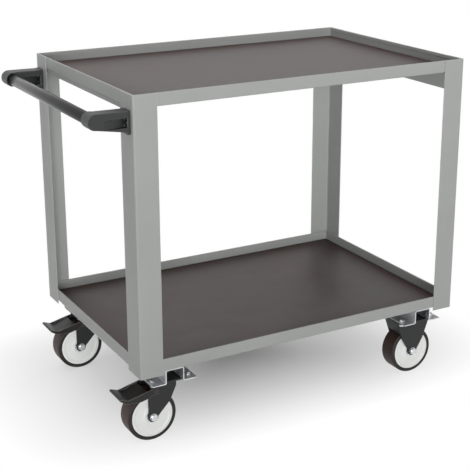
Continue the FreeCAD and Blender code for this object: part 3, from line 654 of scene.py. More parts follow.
def rounded_copy(node: str, name: str, radius: float, steps: int) -> Shape:
    """Copy a node with all its sharp edges rounded; the attribute "edge" marks the rounded faces.

    Args:
        node: name of the node.
        name: name of the new piece.
        radius: rounding in millimetres.
        steps: faces across the rounding.

    Returns:
        The new piece.
    """
    mesh = joined_faces(node)
    # The bevel puts its faces into the second of two empty slots, which tells them from the others
    for _ in range(2):
        mesh.materials.append(None)
    made = new_object(name, mesh)
    bevel = made.modifiers.new("rounded_edges", "BEVEL")
    bevel.width = mm(radius)
    bevel.segments = steps
    bevel.limit_method = "ANGLE"
    bevel.angle_limit = math.radians(ROUNDED_ABOVE)
    bevel.use_clamp_overlap = False
    bevel.harden_normals = True
    bevel.material = 1
    result = baked(made)
    edge = result.attributes.new("edge", "FLOAT", "FACE")
    edge.data.foreach_set("value", [float(face.material_index) for face in result.polygons])
    result.polygons.foreach_set("material_index", [0] * len(result.polygons))
    result.materials.clear()
    return new_object(name, result)


def moulded_copy(node: str, name: str, step: float, passes: int) -> Shape:
    """Copy a node as a moulding with softened edges; the attribute "edge" marks its ridges.

    Args:
        node: name of the node.
        name: name of the new piece.
        step: size of the mesh's faces in millimetres.
        passes: smoothing passes, each of which softens the edges further.

    Returns:
        The new piece.
    """
    made = new_object(name, joined_faces(node))
    even = made.modifiers.new("even_faces", "REMESH")
    even.mode = "VOXEL"
    even.voxel_size = mm(step)
    soft = made.modifiers.new("softened_edges", "SMOOTH")
    soft.factor = SOFTENING
    soft.iterations = passes
    result = baked(made)
    work = bmesh.new()
    work.from_mesh(result)
    edge = work.verts.layers.float.new("edge")
    for vertex in work.verts:
        around = [side.other_vert(vertex).co for side in vertex.link_edges]
        proud = (vertex.co - sum(around, Vector()) / len(around)).dot(vertex.normal)
        vertex[edge] = min(1.0, max(0.0, proud / mm(RIDGE * step)))
    work.to_mesh(result)
    work.free()
    result.shade_smooth()
    return new_object(name, result)


def turned_section(side: Sequence[Point], steps: int) -> list[Point]:
    """Draw a closed section that is alike on both sides, with its corners rounded.

    Args:
        side: radius, depth and rounding of one side's corners in millimetres, outwards from the axis.
        steps: stretches of each rounding.

    Returns:
        The section's points in metres, with the radius along X and the depth along Y.
    """
    corners = [*side, *((radius, -depth, fillet) for radius, depth, fillet in reversed(side))]
    count = len(corners)
    points: list[Vector] = []
    for index, (radius, depth, fillet) in enumerate(corners):
        here = Vector((radius, depth))
        if fillet <= 0.0:
            points.append(here)
            continue
        before = (Vector(corners[index - 1][:2]) - here).normalized()
        after = (Vector(corners[(index + 1) % count][:2]) - here).normalized()
        half = before.angle(after) / 2.0
        reach = fillet / math.tan(half)
        centre = here + (before + after).normalized() * (fillet / math.sin(half))
        start = here + before * reach - centre
        end = here + after * reach - centre
        for step in range(steps + 1):
            points.append(start.lerp(end, step / steps).normalized() * fillet + centre)
    return [(mm(point.x), mm(point.y), 0.0) for point in points]


# Geometry Nodes


def new_tree(name: str, inputs: dict[str, str]) -> tuple[Tree, Node]:
    """Start a Geometry Nodes tree with named inputs after its geometry.

    Args:
        name: name of the tree.
        inputs: name and socket kind of each input, such as "Float".

    Returns:
        The tree and its input node.
    """
    tree = bpy.data.node_groups.new(name, "GeometryNodeTree")
    tree.interface.new_socket("Geometry", in_out="INPUT", socket_type="NodeSocketGeometry")
    for title, kind in inputs.items():
        tree.interface.new_socket(title, in_out="INPUT", socket_type=f"NodeSocket{kind}")
    tree.interface.new_socket("Geometry", in_out="OUTPUT", socket_type="NodeSocketGeometry")
    return tree, add_node(tree, "NodeGroupInput")


def end_tree(tree: Tree, entry: Node, geometry: Node) -> None:
    """End a tree: realise the instances and set the material.

    Args:
        tree: tree to end.
        entry: its input node, which has a Material output.
        geometry: geometry to hand out.
    """
    real = add_node(tree, "GeometryNodeRealizeInstances", {}, {0: geometry})
    dressed = add_node(tree, "GeometryNodeSetMaterial", {}, {
        "Geometry": real, "Material": entry.outputs["Material"]})
    add_node(tree, "NodeGroupOutput", {}, {0: dressed})


def on_points(tree: Tree, entry: Node, shape: Node) -> Node:
    """Stand a shape on every point, its Z along the axis and turned by chance about it.

    Args:
        tree: tree to add to.
        entry: its input node, with outputs Axis and Seed.
        shape: shape to repeat.

    Returns:
        The instances.
    """
    spin = add_node(tree, "FunctionNodeRandomValue", {"data_type": "FLOAT"}, {
        CHANCE_MIN: 0.0, CHANCE_MAX: math.tau, "Seed": entry.outputs["Seed"]})
    turn = add_node(tree, "ShaderNodeCombineXYZ", {}, {"Z": spin.outputs[CHANCE_RESULT]})
    upright = add_node(tree, "FunctionNodeAlignRotationToVector", {"axis": "Z"}, {
        "Vector": entry.outputs["Axis"]})
    spun = add_node(tree, "FunctionNodeRotateRotation", {"rotation_space": "LOCAL"}, {
        "Rotation": upright, "Rotate By": turn})
    return add_node(tree, "GeometryNodeInstanceOnPoints", {}, {
        "Points": entry.outputs["Geometry"], "Instance": shape, "Rotation": spun})


def raised(tree: Tree, shape: Node, length: Socket, start: Socket | float = 0.0) -> Node:
    """Lift a shape that is centred on its length, so that it begins at a height.

    Args:
        tree: tree to add to.
        shape: node that makes the shape.
        length: length of the shape along Z.
        start: height at which it begins.

    Returns:
        The lifted shape.
    """
    middle = add_node(tree, "ShaderNodeMath", {"operation": "MULTIPLY_ADD"}, {0: length, 1: 0.5, 2: start})
    lift = add_node(tree, "ShaderNodeCombineXYZ", {}, {"Z": middle})
    return add_node(tree, "GeometryNodeTransform", {}, {"Geometry": shape, "Translation": lift})


@cache
def hex_tree() -> Tree:
    """Make the tree of hexagon bolts or nuts on points: chamfered hexagon, washer face and shank.

    Returns:
        The tree.
    """
    tree, entry = new_tree("hexagon_fasteners", {
        "Across Flats": "Float", "Height": "Float", "Washer Radius": "Float", "Washer Height": "Float",
        "Shank Radius": "Float", "Shank Length": "Float", "Shank Start": "Float", "Axis": "Vector",
        "Seed": "Int", "Material": "Material"})
    sizes = entry.outputs
    corner = add_node(tree, "ShaderNodeMath", {"operation": "DIVIDE"}, {
        0: sizes["Across Flats"], 1: math.sqrt(3.0)})
    prism = add_node(tree, "GeometryNodeMeshCylinder", {}, {
        "Vertices": 6, "Radius": corner, "Depth": sizes["Height"]})
    crown = add_node(tree, "ShaderNodeMath", {"operation": "MULTIPLY"}, {
        0: sizes["Across Flats"], 1: CHAMFER_CIRCLE})
    spread = add_node(tree, "ShaderNodeMath", {"operation": "MULTIPLY_ADD"}, {
        0: sizes["Height"], 1: CHAMFER_RUN, 2: crown})
    cone = add_node(tree, "GeometryNodeMeshCone", {}, {
        "Vertices": CHAMFER_STEPS, "Radius Top": crown, "Radius Bottom": spread, "Depth": sizes["Height"]})
    head = add_node(tree, "GeometryNodeMeshBoolean", {"operation": "INTERSECT", "solver": "EXACT"}, {
        "Mesh 2": [raised(tree, prism, sizes["Height"]), cone]})
    washer = add_node(tree, "GeometryNodeMeshCylinder", {}, {
        "Vertices": CHAMFER_STEPS, "Radius": sizes["Washer Radius"], "Depth": sizes["Washer Height"]})
    shank = add_node(tree, "GeometryNodeMeshCylinder", {}, {
        "Vertices": SHANK_STEPS, "Radius": sizes["Shank Radius"], "Depth": sizes["Shank Length"]})
    whole = add_node(tree, "GeometryNodeJoinGeometry", {}, {0: [
        head, raised(tree, washer, sizes["Washer Height"]),
        raised(tree, shank, sizes["Shank Length"], sizes["Shank Start"])]})
    end_tree(tree, entry, on_points(tree, entry, whole))
    return tree


@cache
def socket_tree() -> Tree:
    """Make the tree of button-head screws on points: domed head with a hexagon socket, and shank.

    Returns:
        The tree.
    """
    tree, entry = new_tree("socket_screws", {
        "Head Radius": "Float", "Head Height": "Float", "Socket Radius": "Float", "Shank Radius": "Float",
        "Shank Length": "Float", "Shank Start": "Float", "Axis": "Vector", "Seed": "Int",
        "Material": "Material"})
    sizes = entry.outputs
    ball = add_node(tree, "GeometryNodeMeshUVSphere", {}, {
        "Segments": DOME_STEPS, "Rings": DOME_STEPS // 2, "Radius": 1.0})
    oval = add_node(tree, "ShaderNodeCombineXYZ", {}, {
        "X": sizes["Head Radius"], "Y": sizes["Head Radius"], "Z": sizes["Head Height"]})
    dome = add_node(tree, "GeometryNodeTransform", {}, {"Geometry": ball, "Scale": oval})
    socket = add_node(tree, "GeometryNodeMeshCylinder", {}, {
        "Vertices": 6, "Radius": sizes["Socket Radius"], "Depth": sizes["Head Height"]})
    lift = add_node(tree, "ShaderNodeCombineXYZ", {}, {"Z": sizes["Head Height"]})
    cutter = add_node(tree, "GeometryNodeTransform", {}, {"Geometry": socket, "Translation": lift})
    head = add_node(tree, "GeometryNodeMeshBoolean", {"operation": "DIFFERENCE", "solver": "EXACT"}, {
        "Mesh 1": dome, "Mesh 2": cutter})
    shank = add_node(tree, "GeometryNodeMeshCylinder", {}, {
        "Vertices": SHANK_STEPS, "Radius": sizes["Shank Radius"], "Depth": sizes["Shank Length"]})
    whole = add_node(tree, "GeometryNodeJoinGeometry", {}, {0: [
        head, raised(tree, shank, sizes["Shank Length"], sizes["Shank Start"])]})
    end_tree(tree, entry, on_points(tree, entry, whole))
    return tree


@cache
def turned_tree() -> Tree:
    """Make the tree of a piece turned about Y: a closed outline of radius and depth swept round a circle.

    Returns:
        The tree.
    """
    tree, entry = new_tree("turned_piece", {
        "Mean Radius": "Float", "Steps": "Int", "Centre": "Vector", "Material": "Material"})
    sizes = entry.outputs
    section = add_node(tree, "GeometryNodeMeshToCurve", {}, {0: sizes["Geometry"]})
    back = add_node(tree, "ShaderNodeMath", {"operation": "MULTIPLY"}, {0: sizes["Mean Radius"], 1: -1.0})
    shift = add_node(tree, "ShaderNodeCombineXYZ", {}, {"X": back})
    moved = add_node(tree, "GeometryNodeTransform", {}, {"Geometry": section, "Translation": shift})
    circle = add_node(tree, "GeometryNodeCurvePrimitiveCircle", {"mode": "RADIUS"}, {
        "Resolution": sizes["Steps"], "Radius": sizes["Mean Radius"]})
    level = add_node(tree, "GeometryNodeSetCurveNormal", {"mode": "Z_UP"}, {0: circle})
    swept = add_node(tree, "GeometryNodeCurveToMesh", {}, {"Curve": level, "Profile Curve": moved})
    laid = add_node(tree, "GeometryNodeTransform", {}, {
        "Geometry": swept, "Translation": sizes["Centre"], "Rotation": (math.pi / 2.0, 0.0, 0.0)})
    end_tree(tree, entry, laid)
    return tree


@cache
def weld_tree() -> Tree:
    """Make the tree of spot welds on points: shallow discs with sloped rims under the paint.

    Returns:
        The tree.
    """
    tree, entry = new_tree("spot_welds", {
        "Radius": "Float", "Flat Radius": "Float", "Height": "Float", "Axis": "Vector", "Seed": "Int",
        "Material": "Material"})
    sizes = entry.outputs
    disc = add_node(tree, "GeometryNodeMeshCone", {}, {
        "Vertices": WELD_STEPS, "Radius Top": sizes["Flat Radius"], "Radius Bottom": sizes["Radius"],
        "Depth": sizes["Height"]})
    end_tree(tree, entry, on_points(tree, entry, disc))
    return tree


def grown(tree: Tree, name: str, points: Places, sizes: dict[str, Any], finish: Finish, closed: bool = False,
          sharp: float = SHARP_ABOVE) -> Shape:
    """Run a tree on points or on an outline, and keep the result as a plain piece.

    Args:
        tree: Geometry Nodes tree.
        name: name of the piece.
        points: places in metres.
        sizes: the tree's inputs by name.
        finish: finish of the piece.
        closed: True where the points are the corners of a closed outline.
        sharp: angle in degrees above which an edge stays sharp.

    Returns:
        The piece.
    """
    spots = [tuple(point) for point in points]
    sides = [(index, (index + 1) % len(spots)) for index in range(len(spots))] if closed else []
    seeds = bpy.data.meshes.new(name)
    seeds.from_pydata(spots, sides, [])
    made = new_object(name, seeds)
    growth = made.modifiers.new(tree.name, "NODES")
    growth.node_group = tree
    settings = {**sizes, "Material": finish.material()}
    for item in tree.interface.items_tree:
        if item.in_out == "INPUT" and item.name in settings:
            growth[item.identifier] = settings[item.name]
    mesh = baked(made)
    work = bmesh.new()
    work.from_mesh(mesh)
    bmesh.ops.remove_doubles(work, verts=work.verts, dist=mm(MERGE))
    bmesh.ops.recalc_face_normals(work, faces=work.faces)
    work.to_mesh(mesh)
    work.free()
    mesh.shade_smooth()
    mesh.set_sharp_from_angle(angle=math.radians(sharp))
    return new_object(name, mesh)


@dataclass(frozen=True)
class Hexagon:
    """Sizes in millimetres that a hexagon bolt shares with its nut."""

    flats: float
    washer_radius: float
    washer: float
    shank_radius: float

    def stand(self, name: str, seats: Places, facing: Facing, seed: Seed, height: float,
              shank: float = 0.0) -> Shape:
        """Stand bolts or nuts on their seats.

        Args:
            name: name of the piece.
            seats: places in metres.
            facing: direction that they point in.
            seed: seed of the turn that chance gives to each.
            height: height of the hexagon in millimetres.
            shank: length of a bolt's shank in millimetres. A nut has none, and a bolt's end fills it.

        Returns:
            The piece.
        """
        return grown(hex_tree(), name, seats, {
            "Across Flats": mm(self.flats), "Height": mm(height), "Washer Radius": mm(self.washer_radius),
            "Washer Height": mm(self.washer), "Shank Radius": mm(self.shank_radius),
            "Shank Length": mm(shank or height), "Shank Start": -mm(shank), "Axis": facing.value,
            "Seed": seed.value}, BRIGHT_STEEL)


# Sub-assemblies


@dataclass
class Piece:
    """A finished piece, the body that it rides on, its finish and the nodes that it stands for."""

    shape: Shape
    body: Body
    finish: Finish
    nodes: tuple[str, ...] = ()


@dataclass
class SubAssembly(ABC):
    """Pieces that belong together. Sizes are in millimetres."""

    pieces: list[Piece] = field(default_factory=list, init=False)

    @abstractmethod
    def build(self) -> None:
        """Make the meshes."""

    def keep(self, shape: Shape, body: Body, finish: Finish, *nodes: str) -> None:
        """Note a finished piece with its body, its finish and the nodes that it stands for."""
        self.pieces.append(Piece(shape, body, finish, nodes))

    def keep_copies(self, nodes: Iterable[str], body: Body, finish: Finish, radius: float,
                    steps: int = EDGE_STEPS) -> None:
        """Copy nodes with their edges rounded to a radius in millimetres, with steps faces across."""
        for node in nodes:
            self.keep(rounded_copy(node, f"{node}_shape", radius, steps), body, finish, node)

    def dress(self) -> None:
        """Give every piece its finish and its body, and hide the nodes that it stands for."""
        for piece in self.pieces:
            piece.shape.data.materials.clear()
            piece.shape.data.materials.append(piece.finish.material())
            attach(piece.shape, piece.body.value)
            if piece.nodes:
                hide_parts(*piece.nodes)
            log.info("piece %s on %s", piece.shape.name, piece.body.value)


def coat_nodes(nodes: Iterable[str], finish: Finish) -> None:
    """Give nodes that stay as they are their finish.

    Args:
        nodes: names of the nodes.
        finish: finish for all of them.
    """
    for node in nodes:
        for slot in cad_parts[node].material_slots:
            slot.material = finish.material()
        log.info("node %s keeps its shape", node)


@dataclass
class SheetFrame(SubAssembly):
    """Legs, trays, end rails and stiffeners, folded from sheet and coated grey."""

    edge: float = 0.55
    stiffener_edge: float = 0.4
    stiffener_sheet: float = 1.5
    weld_radius: float = 3.5
    weld_flat: float = 2.52
    weld_height: float = 0.3
    weld_pitch: float = 85.0
    weld_inset: float = 8.0

    def build(self) -> None:
        """Round the sheet edges and add the spot welds under the trays."""
        legs = [f"leg_{side}_{end}" for side in ("front", "rear") for end in ("left", "right")]
        wide = ["upper_tray", "lower_tray", "left_end_rail", "right_end_rail"]
        stiffeners = ["upper_stiffener", "lower_stiffener"]
        self.keep_copies(legs + wide, Body.FRAME, GREY_COAT, self.edge, FINE_EDGE_STEPS)
        self.keep_copies(stiffeners, Body.FRAME, GREY_COAT, self.stiffener_edge)
        for number, node in enumerate(stiffeners):
            welds = grown(weld_tree(), f"{node}_welds", self.weld_places(node), {
                "Radius": mm(self.weld_radius), "Flat Radius": mm(self.weld_flat),
                "Height": mm(self.weld_height), "Axis": Facing.DOWN.value, "Seed": number}, GREY_COAT)
            self.keep(welds, Body.FRAME, GREY_COAT)

    def weld_places(self, node: str) -> list[Point]:
        """Place spot welds along both feet of a stiffener.

        Args:
            node: the stiffener.

        Returns:
            Places in metres on the underside of the feet.
        """
        low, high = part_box(node)
        inset = mm(self.weld_inset)
        level = high.z - mm(self.stiffener_sheet)
        run = high.x - low.x
        count = int(run / mm(self.weld_pitch))
        stations = [low.x + inset + (run - 2.0 * inset) * step / count for step in range(count + 1)]
        return [(x, y, level) for x in stations for y in (low.y + inset, high.y - inset)]


@dataclass
class ShelfLinings(SubAssembly):
    """Dark rubber sheets laid on the tray floors."""

    edge: float = 0.9

    def build(self) -> None:
        """Round the rims of the sheets."""
        self.keep_copies(["upper_mat", "lower_mat"], Body.FRAME, LINING, self.edge, FINE_EDGE_STEPS)


@dataclass
class CasterChannels(SubAssembly):
    """Galvanised hat channels with the bolts that hold the caster plates."""

    edge: float = 0.35
    bolt_x: float = 46.0
    bolt_y: float = 38.0
    hexagon: Hexagon = Hexagon(flats=13.0, washer_radius=8.0, washer=0.7, shank_radius=4.0)
    head: float = 5.3
    nut: float = 6.5
    foot: float = 2.5
    plate: float = 4.0
    bolt_end: float = 1.0

    def build(self) -> None:
        """Round the channels and stand bolts and nuts on their feet."""
        self.keep_copies(["left_caster_channel", "right_caster_channel"], Body.FRAME, ZINC_SHEET, self.edge)
        tops: list[Point] = []
        bottoms: list[Point] = []
        for corner in Corner:
            low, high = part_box(f"{corner.value}_{corner.kind}_plate")
            middle = (low + high) / 2.0
            for along in (-self.bolt_x, self.bolt_x):
                for across in (-self.bolt_y, self.bolt_y):
                    x, y = middle.x + mm(along), middle.y + mm(across)
                    tops.append((x, y, high.z + mm(self.foot)))
                    bottoms.append((x, y, high.z - mm(self.plate)))
        length = self.foot + self.plate + self.nut + self.bolt_end
        bolts = self.hexagon.stand("caster_bolt_set", tops, Facing.UP, Seed.CASTER_BOLTS, self.head, length)
        nuts = self.hexagon.stand("caster_nut_set", bottoms, Facing.DOWN, Seed.CASTER_NUTS, self.nut)
        self.keep(bolts, Body.FRAME, BRIGHT_STEEL, "caster_bolts")
        self.keep(nuts, Body.FRAME, BRIGHT_STEEL, "caster_nuts")


@dataclass
class PushHandle(SubAssembly):
    """Coated tube in two moulded brackets, each held to its leg by two screws."""

    bracket_step: float = 0.9
    bracket_passes: int = 6
    bracket_foot: float = 8.0
    tube_radius: float = 14.0
    tube_wall: float = 2.0
    tube_edge: float = 0.5
    tube_steps: int = 64
    screw_pitch: float = 20.5
    head_radius: float = 5.5
    head: float = 3.6
    socket_radius: float = 2.3
    shank_radius: float = 3.0
    shank: float = 16.5
    hexagon: Hexagon = Hexagon(flats=10.0, washer_radius=6.0, washer=0.6, shank_radius=3.0)
    nut: float = 5.0

    def build(self) -> None:
        """Soften the brackets, turn the tube, and stand the screws and nuts."""
        for node in ("front_handle_bracket", "rear_handle_bracket"):
            bracket = moulded_copy(node, f"{node}_shape", self.bracket_step, self.bracket_passes)
            self.keep(bracket, Body.FRAME, BLACK_PLASTIC, node)
        self.bar()
        self.fasteners()

    def bar(self) -> None:
        """Turn the tube with rounded ends."""
        low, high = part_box("handle_tube")
        # Half the tube's length, in millimetres as the radii are
        half = (high.y - low.y) / mm(2.0)
        radii = (self.tube_radius - self.tube_wall, self.tube_radius)
        end = [(radius, half, self.tube_edge) for radius in radii]
        tube = grown(turned_tree(), "handle_bar", turned_section(end, EDGE_STEPS), {
            "Mean Radius": mm(self.tube_radius), "Steps": self.tube_steps,
            "Centre": (low + high) / 2.0}, TUBE_COAT, closed=True)
        self.keep(tube, Body.FRAME, TUBE_COAT, "handle_tube")

    def fasteners(self) -> None:
        """Stand the screws on the brackets' feet and the nuts inside the legs."""
        low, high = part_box("handle_screws")
        outer = high.y - mm(self.head_radius)
        level = (low.z + high.z) / 2.0
        rows = [side * (outer - inset) for side in (-1, 1) for inset in (mm(self.screw_pitch), 0.0)]
        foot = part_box("front_handle_bracket")[1].x - mm(self.bracket_foot)
        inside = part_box("handle_nuts")[0].x
        screws = grown(socket_tree(), "handle_screw_set", [(foot, y, level) for y in rows], {
            "Head Radius": mm(self.head_radius), "Head Height": mm(self.head),
            "Socket Radius": mm(self.socket_radius), "Shank Radius": mm(self.shank_radius),
            "Shank Length": mm(self.shank), "Shank Start": -mm(self.shank), "Axis": Facing.LEFT.value,
            "Seed": Seed.HANDLE_SCREWS.value}, BLACK_STEEL)
        self.keep(screws, Body.FRAME, BLACK_STEEL, "handle_screws")
        seats = [(inside, y, level) for y in rows]
        nuts = self.hexagon.stand("handle_nut_set", seats, Facing.RIGHT, Seed.HANDLE_NUTS, self.nut)
        self.keep(nuts, Body.FRAME, BRIGHT_STEEL, "handle_nuts")


@dataclass
class CasterForks(SubAssembly):
    """Pressed plates and forks, with axle bolts and brake pedals."""

    edge: float = 0.5
    pedal_edge: float = 0.7
    pin_edge: float = 0.6
    fork_half: float = 30.0
    hexagon: Hexagon = Hexagon(flats=16.0, washer_radius=9.4, washer=0.8, shank_radius=5.0)
    head: float = 6.4
    nut: float = 8.0
    axle_end: float = 2.0

    def build(self) -> None:
        """Round the pressings and stand the axle bolts and nuts on their cheeks."""
        rigid_spots: list[Vector] = []
        for corner in Corner:
            name = corner.value
            self.keep_copies([f"{name}_{corner.kind}_plate"], Body.FRAME, BLACK_COAT, self.edge)
            self.keep_copies([f"{name}_{corner.kind}_fork"], corner.fork, BLACK_COAT, self.edge)
            if corner.swivels:
                self.keep_copies([f"{name}_brake_pedal"], corner.pedal, PEDAL_COAT, self.pedal_edge,
                                 FINE_EDGE_STEPS)
                self.axle(name, [corner.axle], corner.fork, f"{name}_axle_bolt", f"{name}_axle_nut")
                self.keep_copies([f"{name}_brake_pin"], corner.fork, BLACK_STEEL, self.pin_edge)
                coat_nodes([f"{name}_kingpin", f"{name}_swivel_balls", f"{name}_axle_sleeve"], BRIGHT_STEEL)
            else:
                rigid_spots.append(corner.axle)
            coat_nodes([f"{name}_wheel_bearings"], BRIGHT_STEEL)
        self.axle("rigid", rigid_spots, Body.FRAME, "rigid_axle_bolts", "rigid_axle_nuts")
        coat_nodes(["rigid_axle_sleeves"], BRIGHT_STEEL)

    def axle(self, name: str, spots: list[Vector], body: Body, bolt_node: str, nut_node: str) -> None:
        """Stand axle bolts and nuts.

        Args:
            name: start of the pieces' names.
            spots: wheel centres in metres.
            body: body that carries them.
            bolt_node: node that the bolts stand for.
            nut_node: node that the nuts stand for.
        """
        reach = Vector((0.0, mm(self.fork_half), 0.0))
        length = 2.0 * self.fork_half + self.nut + self.axle_end
        fronts = [spot - reach for spot in spots]
        rears = [spot + reach for spot in spots]
        bolts = self.hexagon.stand(f"{name}_axle_bolt_set", fronts, Facing.FRONT, Seed.AXLE_BOLTS, self.head,
                                   length)
        nuts = self.hexagon.stand(f"{name}_axle_nut_set", rears, Facing.REAR, Seed.AXLE_NUTS, self.nut)
        self.keep(bolts, body, BRIGHT_STEEL, bolt_node)
        self.keep(nuts, body, BRIGHT_STEEL, nut_node)


@dataclass
class Wheels(SubAssembly):
    """Rubber tyres on moulded centres."""

    radius: float = 62.5
    half_width: float = 23.0
    shoulder: float = 3.0
    shoulder_steps: int = 6
    tyre_gap: float = 0.05
    line_inset: float = 2.6
    line_width: float = 0.8
    line_depth: float = 0.5
    core_radius: float = 52.5
    core_edge: float = 0.4
    core_steps: int = 3
    hub_radius: float = 22.0
    hub_half: float = 25.0
    hub_edge: float = 1.0
    hub_taper: float = 1.5
    bearing_radius: float = 16.05
    bearing_depth: float = 9.0
    bearing_edge: float = 0.5
    bore_radius: float = 9.5
    web_half: float = 21.5
    web_fillet: float = 1.5
    rim: float = 7.0
    rim_taper: float = 2.0
    rim_edge: float = 0.8
    steps: int = 112
    sharp: float = 40.0

    def build(self) -> None:
        """Turn a tyre and a centre for every corner."""
        for corner in Corner:
            name = corner.value
            tyre = self.turn(f"{name}_tyre_ring", self.tyre_section(), self.radius, corner.axle, TYRE)
            self.mark_tread(tyre.data, corner.axle)
            self.keep(tyre, corner.wheel, TYRE, f"{name}_tyre")
            core = self.turn(f"{name}_wheel_centre", self.core_section(), self.core_radius, corner.axle,
                             WHITE_PLASTIC)
            self.keep(core, corner.wheel, WHITE_PLASTIC, f"{name}_wheel_core")

    def turn(self, name: str, section: list[Point], radius: float, centre: Vector, finish: Finish) -> Shape:
        """Turn a section about the axle, round a circle of a radius in millimetres."""
        return grown(turned_tree(), name, section, {
            "Steps": self.steps, "Centre": centre, "Mean Radius": mm(radius)}, finish, True, self.sharp)

    def mark_tread(self, mesh: Mesh, centre: Vector) -> None:
        """Mark the faces of the tread with the attribute "tread".

        Args:
            mesh: mesh of a tyre.
            centre: wheel centre in metres.
        """
        edge = mm(self.radius - self.shoulder / 2.0)
        tread = mesh.attributes.new("tread", "FLOAT", "FACE")
        reaches = [math.hypot(face.center.x - centre.x, face.center.z - centre.z) for face in mesh.polygons]
        tread.data.foreach_set("value", [float(reach > edge) for reach in reaches])

    def tyre_section(self) -> list[Point]:
        """Draw the tyre: round shoulders, flat tread and a line moulded into each side.

        Returns:
            The section.
        """
        line = self.core_radius + self.line_inset
        half = self.half_width
        side = [
            (self.core_radius + self.tyre_gap, half, 0.0), (line, half, 0.0),
            (line + self.line_width / 2.0, half - self.line_depth, 0.0), (line + self.line_width, half, 0.0),
            (self.radius, half, self.shoulder)]
        return turned_section(side, self.shoulder_steps)

    def core_section(self) -> list[Point]:
        """Draw the centre: bearing seats, hub, sunk web and rim.

        Returns:
            The section.
        """
        seat = self.hub_half - self.bearing_depth
        rim = self.core_radius - self.rim
        side = [
            (self.bore_radius, seat, 0.0), (self.bearing_radius, seat, 0.0),
            (self.bearing_radius, self.hub_half, self.bearing_edge),
            (self.hub_radius, self.hub_half, self.hub_edge),
            (self.hub_radius + self.hub_taper, self.web_half, self.web_fillet),
            (rim - self.rim_taper, self.web_half, self.web_fillet),
            (rim, self.half_width, self.rim_edge), (self.core_radius, self.half_width, self.core_edge)]
        return turned_section(side, self.core_steps)


# Studio


@dataclass(frozen=True)
class Lamp:
    """A broad soft light: strength, where it comes from, width in degrees and whether gloss shows it."""

    name: str
    energy: float
    comes_from: Point
    spread: float = 50.0
    mirrored: bool = True


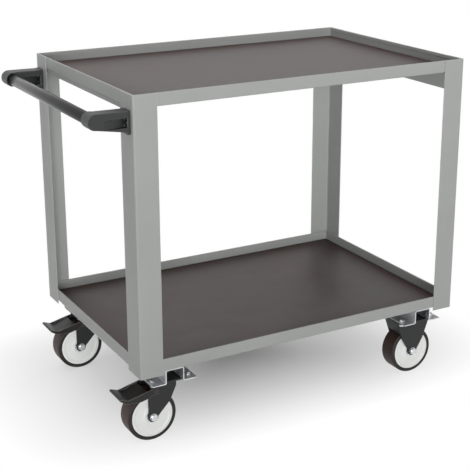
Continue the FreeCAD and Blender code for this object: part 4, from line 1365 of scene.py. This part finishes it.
@dataclass
class Studio:
    """White floor, soft light and the camera at the photograph's viewpoint.

    Lengths are in millimetres and angles in radians. The image's width, the focal length and the centre, by
    which the picture is shifted from the lens axis, are in pixels of the photograph.
    """

    image: float = 470.0
    sensor: float = 36.0
    position: Point = (-1363.1, -2498.8, 1356.0)
    yaw: float = 0.5145
    pitch: float = -0.3002
    focal: float = 1148.0
    centre: Pair = (12.4, -34.0)
    floor_half: float = 8000.0
    floor_colour: str = "#CFCFCF"
    floor_roughness: float = 0.9
    floor_specular: float = 0.1
    # Oval of painted shadow round the cart, in millimetres: its middle, its reach and the share of its reach
    # that stays fully grey
    shade_centre: Pair = (49.5, 90.0)
    shade_reach: Pair = (720.0, 460.0)
    shade_core: float = 0.08
    white: str = "#FFFFFF"
    sky: float = 0.12
    lamps: tuple[Lamp, ...] = (
        Lamp("front_light", 2.7, (-0.36, -1.0, 0.04), spread=30.0),
        Lamp("rear_light", 1.7, (0.0, 1.0, 0.28), mirrored=False),
        Lamp("right_light", 1.3, (1.0, 0.3, 0.12), mirrored=False),
        Lamp("top_light", 0.9, (-0.2, -0.05, 1.0), spread=70.0))

    def build(self) -> None:
        """Make floor, world, lamps and camera."""
        self.floor()
        self.world()
        for lamp in self.lamps:
            self.light(lamp)
        self.camera()
        bpy.context.scene.view_settings.view_transform = "Standard"

    def seen(self, tree: Tree) -> Node:
        """Tell camera, glossy and transmission rays from the others.

        Args:
            tree: shader tree to add to.

        Returns:
            A node that gives one for such rays.
        """
        path = add_node(tree, "ShaderNodeLightPath")
        mirrored = add_node(tree, "ShaderNodeMath", {"operation": "MAXIMUM"}, {
            0: path.outputs["Is Glossy Ray"], 1: path.outputs["Is Transmission Ray"]})
        return add_node(tree, "ShaderNodeMath", {"operation": "MAXIMUM"}, {
            0: path.outputs["Is Camera Ray"], 1: mirrored})

    def floor(self) -> None:
        """Lay the floor."""
        mesh = bpy.data.meshes.new("studio_floor")
        reach = mm(self.floor_half)
        corners = [(-reach, -reach, 0.0), (reach, -reach, 0.0), (reach, reach, 0.0), (-reach, reach, 0.0)]
        mesh.from_pydata(corners, [], [(0, 1, 2, 3)])
        mesh.materials.append(self.paper())
        new_object("studio_floor", mesh)

    def paper(self) -> bpy.types.Material:
        """Make the floor's material: matt paper that takes the cart's shadow, white away from it.

        Around the cart it fades into plain white over a rounded oval, so that no edge of the shadow shows;
        the grey of that oval is also a painted shadow where no real shadow falls.
        From below it is clear.

        Returns:
            The material.
        """
        paper = bpy.data.materials.new("white_paper_floor")
        paper.use_nodes = True
        tree = paper.node_tree
        shader = tree.nodes["Principled BSDF"]
        feed(tree, shader, {
            "Base Color": linear(self.floor_colour), "Roughness": self.floor_roughness,
            "Specular IOR Level": self.floor_specular})
        place = add_node(tree, "ShaderNodeTexCoord").outputs["Object"]
        along, across = self.shade_reach
        oval = add_node(tree, "ShaderNodeMapping", {}, {
            "Vector": place, "Scale": (per_metre(along), per_metre(across), 1.0),
            "Location": (-self.shade_centre[0] / along, -self.shade_centre[1] / across, 0.0)})
        square = add_node(tree, "ShaderNodeVectorMath", {"operation": "MULTIPLY"}, {0: oval, 1: oval})
        length = add_node(tree, "ShaderNodeVectorMath", {"operation": "LENGTH"}, {0: square})
        away = add_node(tree, "ShaderNodeMath", {"operation": "SQRT"}, {0: length.outputs["Value"]})
        # Grey near the cart, white away from it: a painted shadow over the real one
        far = add_node(tree, "ShaderNodeMapRange", {}, {"Value": away, "From Min": self.shade_core})
        white = add_node(tree, "ShaderNodeEmission", {}, {"Color": linear(self.white)})
        share = add_node(tree, "ShaderNodeMath", {"operation": "MULTIPLY"}, {0: far, 1: self.seen(tree)})
        blend = add_node(tree, "ShaderNodeMixShader", {}, {0: share, 1: shader, 2: white})
        side = add_node(tree, "ShaderNodeNewGeometry")
        clear = add_node(tree, "ShaderNodeBsdfTransparent")
        open_below = add_node(tree, "ShaderNodeMixShader", {}, {
            0: side.outputs["Backfacing"], 1: blend, 2: clear})
        feed(tree, tree.nodes["Material Output"], {"Surface": open_below})
        return paper

    def world(self) -> None:
        """Make an even soft sky that is white where it is seen."""
        world = bpy.data.worlds.new("studio_sky")
        world.use_nodes = True
        tree = world.node_tree
        sky = tree.nodes["Background"]
        feed(tree, sky, {"Color": linear(self.white), "Strength": self.sky})
        white = add_node(tree, "ShaderNodeBackground", {}, {"Color": linear(self.white)})
        blend = add_node(tree, "ShaderNodeMixShader", {}, {0: self.seen(tree), 1: sky, 2: white})
        feed(tree, tree.nodes["World Output"], {"Surface": blend})
        bpy.context.scene.world = world

    def light(self, lamp: Lamp) -> None:
        """Hang a lamp.

        Args:
            lamp: the lamp.
        """
        data = bpy.data.lights.new(lamp.name, "SUN")
        data.energy = lamp.energy
        data.angle = math.radians(lamp.spread)
        made = new_object(lamp.name, data)
        made.rotation_euler = Vector(lamp.comes_from).to_track_quat("Z", "Y").to_euler()
        made.visible_glossy = lamp.mirrored

    def camera(self) -> None:
        """Set up the camera."""
        data = bpy.data.cameras.new("photo_camera")
        data.sensor_fit = "HORIZONTAL"
        data.sensor_width = self.sensor
        data.lens = self.focal / self.image * self.sensor
        data.shift_x = -self.centre[0] / self.image
        data.shift_y = self.centre[1] / self.image
        camera = new_object("photo_camera", data)
        camera.location = [mm(length) for length in self.position]
        camera.rotation_euler = (math.pi / 2.0 + self.pitch, 0.0, -self.yaw)
        bpy.context.scene.camera = camera


def main() -> None:
    """Build and dress the cart, then light it."""
    logging.basicConfig(level=logging.INFO, format="%(name)s: %(message)s")
    for assembly in (SheetFrame(), ShelfLinings(), CasterChannels(), PushHandle(), CasterForks(), Wheels()):
        assembly.build()
        assembly.dress()
    Studio().build()


if __name__ == "__main__":
    main()
